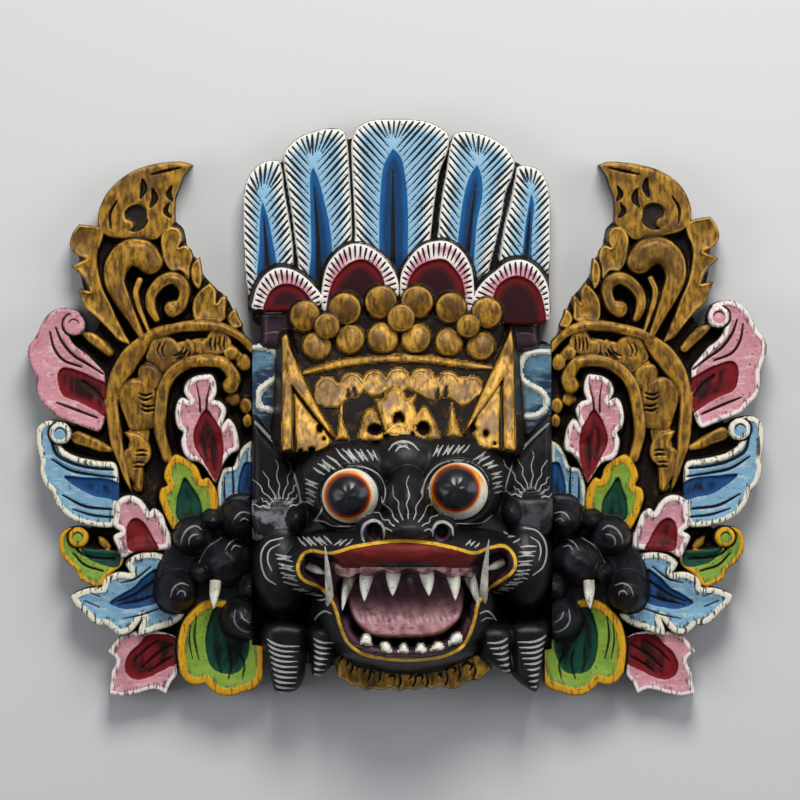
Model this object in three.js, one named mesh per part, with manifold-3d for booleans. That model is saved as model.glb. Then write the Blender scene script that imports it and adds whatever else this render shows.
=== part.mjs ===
// A carved and painted wooden wall mask of a mythical beast: a centre block with the face and
// the feather crown, a wing of leaves and curls on each side, and fangs let into the wood.
// Millimetres. The mask lies on its flat back: +Z out of the face, +Y to the crown, +X to the
// viewer's right. The origin is under the middle of the whole mask, in the plane of its back.
import * as THREE from 'three';
import { mergeVertices } from 'three/addons/utils/BufferGeometryUtils.js';
import Module from 'manifold-3d';

const wasm = await Module();
wasm.setup();

// Driving sizes of the blocks
const MASK_HEIGHT = 390; // lowest leaf to the tip of the middle feather
const WING_BOARD = 15; // thickness left behind the wings' carving
const CENTRE_BOARD = 18; // thickness left behind the carving of the centre block
const SEAM_GAP = 0.3; // between the centre block and a wing
const FIT = 0.3; // clearance round a fang in its socket
const EDGE_ROUND = 2; // rounding of a leaf's edge
const FACET = 15; // length of one straight stretch of a curved outline

// Heights of the carving above the back
const HORN_TOP = 25;
const HOOK_TOP = 35;
const ARC_TOP = 30;
const FRIEZE_TOP = 26;
const CURL_LEAF_TOP = 30;
const COIL_RISE = 4; // a leaf's coiled tip stands over the leaf by this
const HEART_DEPTH = 3;
const LOW_LEAF_TOP = 34;
const LOCK_TOP = 56; // the black locks of mane
const FEATHER_TOPS = [25, 29, 33, 29, 25];
const MIDRIB_RISE = 2.5; // a feather's middle stands over its vanes by this
const SCALLOP_TOP = 42;
const FLOWER_TOP = 56;
const PETAL_DROP = 5; // the petals lie lower than a flower's boss by this
const TIARA_FOOT = 41; // height of the tiara's band at the flowers
const TIARA_FRONT = 70; // height where the tiara meets the forehead
const PANEL_TOP = 24;
const BROW_TOP = 86;
const EYE_FRONT = 103;
const NOSE_FRONT = 126;
const LIP_FRONT = 121;
const JAW_FRONT = 108;
const LOWER_LIP_FRONT = 104;
const MOUTH_FLOOR = 62;
const TOOTH_LEDGE = 88; // the gum that the lower teeth stand on
const TONGUE_TOP = 88;

// The hollow that is cut into the back of the face, so that the block doesn't split
const HOLLOW_WIDTH = 100;
const HOLLOW_LENGTH = 130;
const HOLLOW_DEPTH = 44;
const HOLLOW_TAPER = 14; // narrower at its bottom by this much on each side

// Fangs
const FANG_ROOT = 6; // length of a fang's root inside its socket
const FANG_SIDES = 6;

// The carver's drawing is laid out in shares of the mask's height. X is counted from the middle
// of the centre block and Y from the lowest leaf.
const SHARES_IN_HEIGHT = 582;
const U = MASK_HEIGHT / SHARES_IN_HEIGHT;
const SEAM_X = 150; // the side of the centre block
const REACH_BACK = 5; // how far shapes start below the back before it is planed flat

// The right wing is the left one mirrored by eye: it leans in and its outside sits higher
const RIGHT_LEAN = 14;
const RIGHT_LIFT = 8;

const gold = { color: 0xa8741f, roughness: 0.5, metalness: 0.35 };
const blackLacquer = { color: 0x17161a, roughness: 0.35, metalness: 0 };
const ivory = { color: 0xe6dfc8, roughness: 0.4, metalness: 0 };

// Between 0 and 1 as value goes from low to high, with soft ends
function ease(value, low, high) {
  return THREE.MathUtils.smoothstep(value, low, high);
}

// Turns a geometry into a solid that can be joined and cut
function solid(geometry) {
  geometry.deleteAttribute('normal');
  geometry.deleteAttribute('uv');
  const merged = mergeVertices(geometry, 1e-4);
  const mesh = new wasm.Mesh({
    numProp: 3,
    vertProperties: new Float32Array(merged.attributes.position.array),
    triVerts: new Uint32Array(merged.index.array),
  });
  return new wasm.Manifold(mesh);
}

function join(solids) {
  return solids.reduce((whole, next) => whole.add(next));
}

function toMesh(name, body, finish) {
  const { vertProperties, triVerts } = body.getMesh();
  const geometry = new THREE.BufferGeometry();
  geometry.setAttribute('position', new THREE.BufferAttribute(vertProperties, 3));
  geometry.setIndex(new THREE.BufferAttribute(triVerts, 1));
  geometry.computeVertexNormals();
  const mesh = new THREE.Mesh(geometry, new THREE.MeshStandardMaterial(finish));
  mesh.name = name;
  return mesh;
}

// A smooth closed outline through points of the drawing, in facets
function outline(points) {
  const through = points.map(([x, y]) => new THREE.Vector3(x * U, y * U, 0));
  const curve = new THREE.CatmullRomCurve3(through, true, 'centripetal');
  const count = through.length;
  const facets = [];
  for (let i = 0; i < count; i += 1) {
    const span = through[i].distanceTo(through[(i + 1) % count]);
    const parts = Math.max(1, Math.round(span / FACET));
    for (let k = 0; k < parts; k += 1) {
      const point = curve.getPoint((i + k / parts) / count);
      facets.push(new THREE.Vector2(point.x, point.y));
    }
  }
  return facets;
}

// The outline of a stroke that swells and thins: each station is x, y and half the width
function stroke(stations) {
  const through = stations.map(([x, y, half]) => new THREE.Vector3(x * U, y * U, half * U));
  const curve = new THREE.CatmullRomCurve3(through, false, 'centripetal');
  const steps = Math.max(2, Math.round(curve.getLength() / FACET));
  const left = [];
  const right = [];
  for (let i = 0; i <= steps; i += 1) {
    const at = curve.getPoint(i / steps);
    const along = curve.getTangent(i / steps);
    const side = new THREE.Vector2(-along.y, along.x).normalize().multiplyScalar(at.z);
    left.push(new THREE.Vector2(at.x + side.x, at.y + side.y));
    right.unshift(new THREE.Vector2(at.x - side.x, at.y - side.y));
    if (i === steps) {
      const tip = new THREE.Vector2(side.y, -side.x);
      left.push(new THREE.Vector2(at.x + tip.x, at.y + tip.y));
    }
  }
  return [...left, ...right];
}

// Where each corner of an outline goes when its edge is rounded over by a distance
function insetPlaces(facets, distance) {
  const clockwise = THREE.ShapeUtils.isClockWise(facets);
  const places = new Map();
  facets.forEach((point, i) => {
    const before = facets.at(i - 1);
    const after = facets[(i + 1) % facets.length];
    const into = point.clone().sub(before).normalize();
    const out = after.clone().sub(point).normalize();
    const across = new THREE.Vector2(-(into.y + out.y), into.x + out.x).normalize();
    const side = clockwise ? -1 : 1;
    const sharp = Math.max(0.6, Math.abs(across.dot(new THREE.Vector2(-out.y, out.x))));
    const least = Math.min(point.distanceTo(before), point.distanceTo(after));
    const move = side * Math.min(distance / sharp, 0.35 * least);
    places.set(placeKey(point), point.clone().addScaledVector(across, move));
  });
  return places;
}

function placeKey({ x, y }) {
  return `${x},${y}`;
}

// Corners on a grid of 1/64 mm, which 32-bit numbers hold exactly
function onGrid(facets) {
  return facets.map(({ x, y }) => new THREE.Vector2(Math.round(x * 64) / 64, Math.round(y * 64) / 64));
}

// Wood left standing up to a height inside an outline, with a rounded upper edge
function relief(facets, top, round = EDGE_ROUND) {
  const corners = onGrid(facets);
  const shape = new THREE.Shape(corners);
  const geometry = new THREE.ExtrudeGeometry(shape, { depth: 1, bevelEnabled: false, steps: 2 });
  const places = insetPlaces(corners, round);
  const position = geometry.attributes.position;
  for (let i = 0; i < position.count; i += 1) {
    const level = position.getZ(i);
    position.setZ(i, [-REACH_BACK, top - round, top][Math.round(level * 2)]);
    if (level > 0.9) {
      const place = places.get(placeKey({ x: position.getX(i), y: position.getY(i) }));
      position.setXY(i, place.x, place.y);
    }
  }
  return solid(geometry);
}

// A straight-sided outline through corners of the drawing
function cornered(points) {
  return points.map(([x, y]) => new THREE.Vector2(x * U, y * U));
}

// A round outline of so many sides, place and radius in shares
function ring(x, y, r, sides) {
  const facets = [];
  for (let k = 0; k < sides; k += 1) {
    const angle = (2 * Math.PI * k) / sides;
    facets.push(new THREE.Vector2((x + r * Math.cos(angle)) * U, (y + r * Math.sin(angle)) * U));
  }
  return facets;
}

// A straight cut or block inside an outline between two heights
function prism(facets, low, high) {
  const shape = new THREE.Shape(facets);
  const geometry = new THREE.ExtrudeGeometry(shape, { depth: high - low, bevelEnabled: false, steps: 1 });
  geometry.translate(0, 0, low);
  return solid(geometry);
}

// A rounded lump standing on the back: place and half sizes across and up in shares, then in mm
// the height of its shoulder, where the straight side turns into the dome, and of its top
function lump(x, y, halfX, halfY, shoulder, top, sides = 12, rings = 3, turn = 0) {
  const profile = [new THREE.Vector2(0, -REACH_BACK), new THREE.Vector2(1, -REACH_BACK)];
  for (let i = 0; i <= rings; i += 1) {
    const angle = (i / rings) * (Math.PI / 2);
    const reach = i === rings ? 0 : Math.cos(angle);
    profile.push(new THREE.Vector2(reach, shoulder + (top - shoulder) * Math.sin(angle)));
  }
  const geometry = new THREE.LatheGeometry(profile, sides);
  geometry.rotateX(Math.PI / 2);
  geometry.scale(halfX * U, halfY * U, 1);
  geometry.rotateZ(turn);
  geometry.translate(x * U, y * U, 0);
  return solid(geometry);
}

function box(x0, x1, y0, y1, z0, z1) {
  const geometry = new THREE.BoxGeometry(x1 - x0, y1 - y0, z1 - z0);
  geometry.translate((x0 + x1) / 2, (y0 + y1) / 2, (z0 + z1) / 2);
  return solid(geometry);
}

// Planes the back flat
function planed(body) {
  const wide = MASK_HEIGHT * 2;
  return body.subtract(box(-wide, wide, -wide, wide, -MASK_HEIGHT, 0));
}

// The hollow's shape: a tapered pocket with its floor towards the face
function hollowShape() {
  const x = FACE_X * U;
  const y = FACE_Y * U;
  const geometry = new THREE.CylinderGeometry(1, 1, 1, 24);
  geometry.rotateX(Math.PI / 2);
  const position = geometry.attributes.position;
  for (let i = 0; i < position.count; i += 1) {
    const deep = position.getZ(i) > 0;
    const inset = deep ? HOLLOW_TAPER : 0;
    position.setX(i, x + position.getX(i) * (HOLLOW_WIDTH / 2 - inset));
    position.setY(i, y + position.getY(i) * (HOLLOW_LENGTH / 2 - inset));
    position.setZ(i, deep ? HOLLOW_DEPTH : -REACH_BACK);
  }
  return solid(geometry);
}

// A fang between its root and its tip, points in shares with the height in mm. Grown by a
// clearance it gives the socket.
function fang(root, tip, half, grow = 0) {
  const from = new THREE.Vector3(root[0] * U, root[1] * U, root[2]);
  const to = new THREE.Vector3(tip[0] * U, tip[1] * U, tip[2]);
  const axis = to.clone().sub(from);
  const length = axis.length();
  axis.normalize();
  const r = half * U;
  const profile = [
    new THREE.Vector2(0, -FANG_ROOT - grow),
    new THREE.Vector2(r + grow, -FANG_ROOT - grow),
    new THREE.Vector2(r * 0.75 + grow, length * 0.5),
    new THREE.Vector2(0, length + grow),
  ];
  const geometry = new THREE.LatheGeometry(profile, FANG_SIDES);
  geometry.applyQuaternion(new THREE.Quaternion().setFromUnitVectors(new THREE.Vector3(0, 1, 0), axis));
  geometry.translate(from.x, from.y, from.z);
  return solid(geometry);
}

// The wing's drawing, read outwards from the middle of the mask: distance out, then height
const LOW_REACH = { // how far in the lowest leaf comes below the centre block, and up to where
  left: { out: 139.5, up: 54 },
  right: { out: 143.5, up: 50 },
};
const WING_GROUND = [
  [150, 12], [150, 352], [176, 402], [206, 442], [229, 482], [229, 512], [250, 525], [288, 508],
  [300, 476], [320, 446], [302, 388], [344, 372], [362, 344], [326, 280], [350, 250], [338, 190],
  [312, 176], [318, 126], [316, 98], [264, 70], [280, 14], [228, 30], [184, 12],
];
const HORN = [
  [210, 536], [234, 540], [264, 533], [292, 512], [305, 482], [296, 464], [243, 461], [229, 480],
  [225, 512],
];
const HORN_SPIRAL = [[256, 497, 3], [276, 497, 5], [280, 476, 6]];
const HORN_EYE = { x: 269, y: 484, r: 14 };
const OUTER_LOBES = [
  [324, 476], [302, 470], [305, 436], [278, 354], [318, 392], [325, 411], [315, 412], [331, 434],
  [318, 442], [332, 458],
];
const BIG_HOOK = [[261, 364, 3], [280, 400, 8], [288, 422, 10], [276, 446, 13], [254, 440, 12]];
const SLIVER = [[263, 420, 3], [266, 400, 3], [254, 368, 2]];
const SECOND_CURL = [[246, 381, 3], [252, 402, 5], [234, 421, 6], [219, 408, 6], [228, 392, 8]];
const INNER_LEAVES = [
  [[242, 460], [228, 474], [223, 454], [211, 450], [212, 424], [234, 431]],
  [[211, 435], [206, 441], [200, 428], [203, 411]],
  [[210, 390], [196, 415], [184, 400], [177, 402], [177, 380]],
  [[174, 380], [168, 388], [160, 374], [166, 368]],
];
const ARC = [
  [150, 357], [186, 379], [220, 379], [258, 367], [278, 352], [292, 328], [297, 296], [288, 244],
  [272, 208], [281, 262], [283, 304], [264, 340], [236, 364], [184, 368],
];
const FRIEZE = [
  [[254, 352], [238, 365], [213, 356], [210, 343], [241, 329]],
  [[265, 325], [257, 335], [241, 316], [252, 310]],
  [[285, 306], [272, 321], [250, 312], [249, 272], [266, 270]],
  [[277, 266], [258, 260], [262, 208], [272, 222], [280, 238]],
  [[206, 361], [188, 371], [172, 364], [172, 350], [204, 346]],
  [[166, 333], [160, 346], [152, 336]],
];
const INNER_BAND = [[235, 242, 5], [242, 278, 6], [232, 324, 6], [203, 339, 6], [170, 322, 7]];
const LOBED_LEAF = [
  [194, 325], [186, 312], [176, 290], [180, 274], [166, 262], [180, 234], [187, 219], [203, 238],
  [218, 248], [226, 290], [213, 300],
];
const LOBED_HEART = [[196, 288], [181, 262], [187, 224], [206, 262]];
const TONGUES = [
  [[318, 366, 4], [305, 357, 5], [293, 347, 4]],
  [[325, 262, 7], [309, 256, 5], [293, 250, 3]],
];
const CURL_LEAVES = [
  {
    scroll: { x: 330, y: 377, r: 12.5 },
    body: [
      [330, 388], [352, 388], [376, 350], [365, 312], [346, 283], [300, 270], [297, 324], [326, 350],
    ],
    heart: [[342, 330], [298, 314], [298, 284], [343, 312]],
  },
  {
    scroll: { x: 345, y: 267, r: 12 },
    body: [
      [346, 278], [364, 274], [364, 232], [352, 206], [336, 184], [290, 173], [286, 236], [330, 244],
    ],
    heart: [[338, 223], [286, 216], [286, 200], [322, 208]],
  },
  {
    scroll: { x: 325, y: 162, r: 10.5 },
    body: [
      [327, 171], [342, 160], [340, 142], [320, 117], [303, 112], [281, 135], [290, 149], [318, 152],
    ],
    heart: [[318, 148], [286, 146], [288, 134], [306, 136]],
  },
];
const PETAL = [
  [288, 185], [280, 203], [264, 202], [248, 185], [236, 178], [232, 158], [276, 143], [288, 162],
];
const PETAL_HEART = [[274, 152], [274, 177], [258, 176], [246, 152]];
const WIDE_LEAF = [
  [331, 103], [302, 112], [292, 124], [274, 128], [262, 148], [231, 140], [218, 84], [240, 70],
  [284, 64], [318, 84],
];
const WIDE_HEART = [[292, 97], [246, 130], [244, 96], [276, 90]];
const UPPER_GREEN = [[227, 244], [202, 226], [186, 200], [196, 168], [226, 168], [242, 202]];
const SEAM_LEAF = [[150, 259], [164, 247], [176, 233], [184, 214], [182, 178], [150, 170]];
const BOTTOM_GREEN = [
  [196, 98], [219, 78], [225, 46], [212, 16], [184, 3], [166, 2], [143, 16], [151, 50], [166, 90],
];
const BOTTOM_HEART = [[186, 86], [197, 54], [178, 25], [158, 32], [164, 70]];
const CORNER_LEAF = [
  [262, 68], [282, 63], [295, 47], [288, 34], [294, 4], [250, 9], [236, 8], [226, 26], [227, 60],
];
const CORNER_HEART = [[256, 62], [277, 40], [262, 19], [232, 32], [232, 56]];
const LOCKS = [[212, 166, 19], [163, 184, 19], [176, 138, 27], [229, 108, 19.5], [160, 81, 20.5]];
const WING_FANG = { root: [187, 112, 47], tip: [188, 91, 50], half: 6 };

// One wing. side is -1 for the left wing and 1 for the right one.
function makeWing(side) {
  const right = side > 0;
  const bend = ([out, y, half]) => {
    const lean = right ? RIGHT_LEAN * ease(y, 170, 470) * ease(out, 140, 230) : 0;
    const lift = right ? RIGHT_LIFT * ease(out, 240, 330) * ease(y, 140, 400) : 0;
    return [side * (out - lean), y + lift, half];
  };
  const laid = (points) => points.map(bend);
  const spot = (x, y, r, top) => {
    const [px, py] = bend([x, y]);
    return lump(px, py, r, r, (WING_BOARD + top) / 2, top, 8, 2);
  };
  const leaf = (points, top, heart) => {
    const standing = relief(outline(laid(points)), top);
    if (!heart) {
      return standing;
    }
    return standing.subtract(prism(outline(laid(heart)), top - HEART_DEPTH, top + REACH_BACK));
  };
  const flat = (points, top) => prism(outline(laid(points)), -REACH_BACK, top);
  const curlLeaf = ({ scroll, body, heart }) => {
    const [x, y] = bend([scroll.x, scroll.y]);
    const coil = lump(x, y, scroll.r, scroll.r, CURL_LEAF_TOP, CURL_LEAF_TOP + COIL_RISE, 8, 1);
    return leaf(body, CURL_LEAF_TOP, heart).add(coil);
  };
  const [eyeX, eyeY] = bend([HORN_EYE.x, HORN_EYE.y]);
  const eye = ring(eyeX, eyeY, HORN_EYE.r, 8);
  const horn = relief(outline(laid(HORN)), HORN_TOP)
    .subtract(prism(eye, HORN_TOP - 2 * HEART_DEPTH, HORN_TOP + REACH_BACK))
    .add(relief(stroke(laid(HORN_SPIRAL)), HORN_TOP));
  const whole = join([
    prism(outline(laid(WING_GROUND)), -REACH_BACK, WING_BOARD),
    horn,
    flat(OUTER_LOBES, HORN_TOP),
    relief(stroke(laid(BIG_HOOK)), HOOK_TOP),
    relief(stroke(laid(SLIVER)), ARC_TOP, 1),
    relief(stroke(laid(SECOND_CURL)), HOOK_TOP),
    ...INNER_LEAVES.map((points) => flat(points, FRIEZE_TOP)),
    leaf(ARC, ARC_TOP),
    ...FRIEZE.map((points) => flat(points, FRIEZE_TOP)),
    relief(stroke(laid(INNER_BAND)), ARC_TOP + 2),
    leaf(LOBED_LEAF, HOOK_TOP + 2, LOBED_HEART),
    ...TONGUES.map((points) => relief(stroke(laid(points)), FRIEZE_TOP, 1.5)),
    ...CURL_LEAVES.map(curlLeaf),
    leaf(PETAL, LOW_LEAF_TOP, PETAL_HEART),
    leaf(WIDE_LEAF, CURL_LEAF_TOP, WIDE_HEART),
    leaf(UPPER_GREEN, LOW_LEAF_TOP),
    leaf(SEAM_LEAF, CURL_LEAF_TOP),
    leaf(BOTTOM_GREEN, LOW_LEAF_TOP, BOTTOM_HEART),
    leaf(CORNER_LEAF, FRIEZE_TOP, CORNER_HEART),
    ...LOCKS.map(([x, y, r]) => spot(x, y, r, LOCK_TOP)),
  ]);
  const edge = SEAM_X * U + SEAM_GAP;
  const wide = MASK_HEIGHT * 2;
  const reach = LOW_REACH[right ? 'right' : 'left'];
  const kept = (from, up) => {
    return right ? box(from, wide, -wide, up, 0, wide) : box(-wide, -from, -wide, up, 0, wide);
  };
  const keep = kept(edge, wide).add(kept(reach.out * U, reach.up * U));
  const [rx, ry] = bend(WING_FANG.root);
  const [tx, ty] = bend(WING_FANG.tip);
  const root = [rx, ry, WING_FANG.root[2]];
  const tip = [tx, ty, WING_FANG.tip[2]];
  const body = whole.intersect(keep).subtract(fang(root, tip, WING_FANG.half, FIT));
  return { body, fang: fang(root, tip, WING_FANG.half) };
}

// The centre block's drawing: across from the middle of the mask, then up from the lowest leaf
const FACE_X = 3;
const FACE_Y = 160;
const CENTRE_GROUND = [
  [-139, 392], [-139, 362], [-150, 354], [-150, 70], [-118, 40], [-60, 34], [0, 28], [64, 34],
  [112, 40], [150, 70], [150, 354], [136, 362], [136, 392],
];
const CROWN_GROUND = [
  [-149, 378], [-154, 500], [-128, 532], [-104, 552], [-50, 562], [48, 560], [102, 545], [130, 528],
  [144, 505], [144, 378],
];
const FEATHERS = [
  [[-151, 391], [-155, 420], [-155, 505], [-144, 536], [-122, 534], [-108, 434], [-112, 385]],
  [[-112, 400], [-106, 460], [-118, 536], [-106, 563], [-64, 572], [-53, 556], [-50, 440], [-60, 400]],
  [[-52, 430], [-50, 560], [-38, 578], [-8, 582], [28, 579], [47, 566], [31, 485], [28, 430]],
  [[26, 440], [36, 465], [48, 562], [70, 569], [104, 556], [113, 540], [94, 460], [86, 410]],
  [[90, 410], [113, 534], [130, 535], [146, 519], [148, 420], [145, 392]],
];
const FEATHER_HEARTS = [
  [[-147, 400], [-140, 499], [-126, 400]],
  [[-88, 430], [-89, 534], [-70, 440]],
  [[-21, 450], [-22, 500], [-9, 552], [6, 500], [8, 450]],
  [[54, 450], [76, 536], [74, 450]],
  [[112, 430], [130, 509], [130, 430]],
];
const SCALLOPS = [
  [[-149, 392], [-144, 418], [-118, 433], [-90, 420], [-80, 396]],
  [[-80, 400], [-76, 432], [-50, 456], [-16, 442], [-4, 416], [-6, 398]],
  [[-4, 408], [6, 442], [35, 459], [66, 442], [72, 408], [60, 396]],
  [[70, 402], [90, 428], [121, 440], [142, 424], [147, 396], [145, 386], [110, 386]],
];
const SCALLOP_HEARTS = [
  [[-136, 399], [-116, 416], [-94, 396]],
  [[-71, 408], [-46, 440], [-16, 412]],
  [[6, 412], [32, 441], [62, 408]],
  [[92, 400], [120, 424], [138, 396]],
];
const FLOWERS = [
  { boss: [-75, 374, 12.5], petals: [[-97, 384], [-56, 393], [-84, 353], [-52, 360]], r: 15 },
  { boss: [-1, 382, 13.5], petals: [[-22, 398], [16, 398], [-19, 362], [14, 362]], r: 16 },
  { boss: [66, 374, 11.5], petals: [[48, 391], [86, 388], [46, 357], [78, 351]], r: 14 },
];
const TIARA = [
  [-108, 400], [-104, 330], [-118, 300], [-118, 250], [-60, 262], [0, 270], [60, 262], [112, 250],
  [110, 300], [96, 330], [100, 400],
];
const TIARA_SLOPE = [[404, 0], [344.4, 0.1], [246, 1]];
const TIARA_ARC = [[-98, 328, 3], [-36, 341, 3], [32, 340, 3], [91, 330, 3]];
const TIARA_LOBES = [[-75, 313], [-50, 317], [-27, 318], [-4, 321], [21, 320], [47, 318], [70, 315]];
const LOTUS = [
  [-46, 262], [-40, 280], [-31, 291], [-22, 280], [-27, 301], [-8, 313], [12, 301], [8, 282],
  [20, 293], [29, 283], [38, 262],
];
const SPIKES = [[[-65, 262], [-61, 294], [-54, 262]], [[46, 264], [49, 296], [58, 264]]];
const BLADES = [
  [[-122, 250], [-119, 366], [-112, 362], [-64, 266], [-74, 262], [-90, 252]],
  [[113, 250], [111, 371], [104, 366], [59, 268], [68, 262], [82, 252]],
];
const S_CURVES = [
  [[-152, 350, 3], [-126, 348, 3], [-142, 308, 3], [-122, 268, 3]],
  [[148, 348, 3], [120, 342, 3], [144, 300, 3], [115, 282, 3]],
];
const PANELS = [
  [[-153, 261], [-153, 357], [-118, 357], [-116, 261]],
  [[153, 263], [153, 355], [114, 355], [112, 263]],
];
const SHOULDER_SCALLOPS = [
  [[-140, 355], [-141, 389], [-108, 390], [-107, 355]],
  [[137, 354], [138, 387], [102, 388], [104, 354]],
];
const EARS = [
  [[-149, 268], [-138, 266], [-124, 252], [-112, 234], [-101, 196], [-125, 192], [-149, 196]],
  [[149, 272], [138, 268], [126, 254], [112, 236], [102, 210], [124, 198], [149, 200]],
];
const SIDE_BLOCKS = [
  [[-149, 172], [-149, 197], [-102, 196], [-98, 174], [-110, 160], [-140, 160]],
  [[149, 176], [149, 205], [106, 206], [100, 180], [112, 166], [140, 166]],
];
const EYES = [{ x: -52, y: 206, r: 28 }, { x: 55, y: 210, r: 29.5 }];
const NOSTRILS = [[-28.5, 172, 7], [38.5, 171, 7]];
const MOUTH = [
  [-66, 112], [-58, 126], [-30, 128], [0, 131], [34, 130], [62, 126], [72, 112], [68, 72], [40, 64],
  [0, 62], [-40, 65], [-58, 74],
];
const MOUTH_LEDGE = [[-60, 80], [69, 78], [60, 59], [43, 52], [0, 49], [-42, 55], [-54, 62]];
const MOUTH_CORNERS = [
  [[-98, 130], [-92, 146], [-78, 146], [-62, 137], [-62, 106], [-84, 120]],
  [[104, 132], [98, 150], [84, 149], [68, 139], [70, 104], [92, 122]],
];
const CORNER_FLOOR = 72;
const LOWER_TEETH = [[-36, 64], [-17, 57], [-1, 56], [17, 55], [34, 58], [52, 65]];
const BRAIDS = [
  {
    top: 56,
    points: [[-137, 74], [-97, 74], [-97, 50], [-99, 21], [-113, 8], [-126, 7], [-133, 34], [-135, 52]],
  },
  { top: 66, points: [[-90, 72], [-65, 72], [-66, 46], [-75, 30], [-88, 26], [-89, 48]] },
  { top: 56, points: [[145, 74], [110, 74], [109, 48], [111, 25], [132, 7], [138, 28], [141, 50]] },
  { top: 66, points: [[106, 72], [78, 72], [78, 44], [92, 34], [106, 27], [107, 46]] },
];
const CHIN_LEAVES = [
  [-70, 46], [-66, 24], [-52, 16], [-40, 19], [-24, 12], [-8, 16], [8, 12], [24, 16], [40, 13],
  [56, 20], [72, 18], [88, 32], [84, 48],
];
const CHIN_TOP = 58;
const FANGS = [
  { name: 'fang_upper_left_outer', root: [-35, 129, 89], tip: [-38, 101, 96], half: 7.5 },
  { name: 'fang_upper_left_inner', root: [-9, 131, 94], tip: [-10, 107, 101], half: 8 },
  { name: 'fang_upper_right_inner', root: [24, 131, 94], tip: [26, 107, 101], half: 8 },
  { name: 'fang_upper_right_outer', root: [50, 129, 89], tip: [52, 102, 96], half: 7.5 },
  { name: 'tusk_hanging_left', root: [-51, 127, 79], tip: [-60, 91, 88], half: 6 },
  { name: 'tusk_hanging_right', root: [66, 127, 79], tip: [76, 94, 88], half: 6 },
  { name: 'tusk_rising_left', root: [-72, 100, 82], tip: [-77, 158, 108], half: 4.5 },
  { name: 'tusk_rising_right', root: [80, 106, 82], tip: [85, 164, 108], half: 4.5 },
  { name: 'cheek_peg_left', root: [-88, 133, 76], tip: [-75, 128, 80], half: 4.5 },
  { name: 'cheek_peg_right', root: [94, 137, 76], tip: [82, 132, 80], half: 4.5 },
];

// Wood inside an outline under the tiara's slope, raised over it by a few millimetres
function onSlope(facets, over) {
  const rise = TIARA_FRONT - TIARA_FOOT;
  const side = TIARA_SLOPE.map(([y, share]) => new THREE.Vector2(y * U, TIARA_FOOT + share * rise + over));
  side.push(new THREE.Vector2(TIARA_SLOPE.at(-1)[0] * U, -REACH_BACK));
  side.push(new THREE.Vector2(TIARA_SLOPE[0][0] * U, -REACH_BACK));
  const geometry = new THREE.ExtrudeGeometry(new THREE.Shape(side), {
    depth: 2 * SEAM_X * U,
    bevelEnabled: false,
    steps: 1,
  });
  geometry.applyMatrix4(new THREE.Matrix4().makeBasis(
    new THREE.Vector3(0, 1, 0),
    new THREE.Vector3(0, 0, 1),
    new THREE.Vector3(1, 0, 0),
  ));
  geometry.translate(-SEAM_X * U, 0, 0);
  return prism(facets, -REACH_BACK, NOSE_FRONT).intersect(solid(geometry));
}

function makeCrown() {
  const feathers = FEATHERS.map((points, i) => relief(outline(points), FEATHER_TOPS[i]));
  const hearts = FEATHER_HEARTS.map((points, i) => {
    return prism(outline(points), 0, FEATHER_TOPS[i] + MIDRIB_RISE);
  });
  const scallops = SCALLOPS.map((points, i) => {
    const hollow = prism(outline(SCALLOP_HEARTS[i]), SCALLOP_TOP - HEART_DEPTH, SCALLOP_TOP + REACH_BACK);
    return relief(outline(points), SCALLOP_TOP).subtract(hollow);
  });
  const flowers = FLOWERS.flatMap(({ boss, petals, r }) => [
    lump(boss[0], boss[1], boss[2], boss[2], FLOWER_TOP - 6, FLOWER_TOP, 7, 1),
    ...petals.map(([x, y]) => lump(x, y, r, r, SCALLOP_TOP + 1, FLOWER_TOP - PETAL_DROP, 7, 1)),
  ]);
  return [...feathers, ...hearts, ...scallops, ...flowers];
}

function makeTiara() {
  const lobes = TIARA_LOBES.map(([x, y]) => onSlope(ring(x, y, 12, 8), 3));
  return [
    onSlope(outline(TIARA), 0),
    onSlope(stroke(TIARA_ARC), 4),
    ...lobes,
    onSlope(outline(LOTUS), 4),
    ...SPIKES.map((points) => onSlope(cornered(points), 4)),
    ...BLADES.map((points) => onSlope(cornered(points), 7)),
  ];
}

function makeFace() {
  const eyes = EYES.map(({ x, y, r }) => lump(x, y, r, r, EYE_FRONT - r * U, EYE_FRONT, 14, 3));
  const lids = EYES.map(({ x, y, r }) => lump(x, y, r + 5, r + 5, EYE_FRONT - 24, EYE_FRONT - 13, 10, 1));
  return [
    lump(FACE_X, 168, 116, 98, 40, 76, 14, 3),
    lump(-54, 226, 50, 34, 60, BROW_TOP, 10, 2, 0.25),
    lump(58, 230, 50, 34, 60, BROW_TOP, 10, 2, -0.25),
    lump(FACE_X, 238, 40, 30, 60, BROW_TOP - 2, 8, 2),
    ...lids,
    ...eyes,
    lump(5, 196, 20, 34, 80, NOSE_FRONT - 12, 8, 2),
    lump(5, 174, 36, 15, 100, NOSE_FRONT, 10, 2),
    lump(-29, 172, 14, 14, 100, NOSE_FRONT - 8, 8, 2),
    lump(39, 171, 14, 14, 100, NOSE_FRONT - 8, 8, 2),
    lump(FACE_X, 152, 116, 28, 50, LIP_FRONT, 16, 3),
    lump(FACE_X, 96, 88, 66, 60, JAW_FRONT, 16, 3),
    lump(FACE_X + 2, 54, 70, 21, 60, LOWER_LIP_FRONT, 12, 2),
    lump(-92, 134, 26, 24, 70, 86, 10, 2),
    lump(98, 136, 26, 24, 70, 86, 10, 2),
    lump(-120, 132, 29, 44, 50, 72, 10, 2),
    lump(122, 136, 27, 44, 50, 72, 10, 2),
  ];
}

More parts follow.
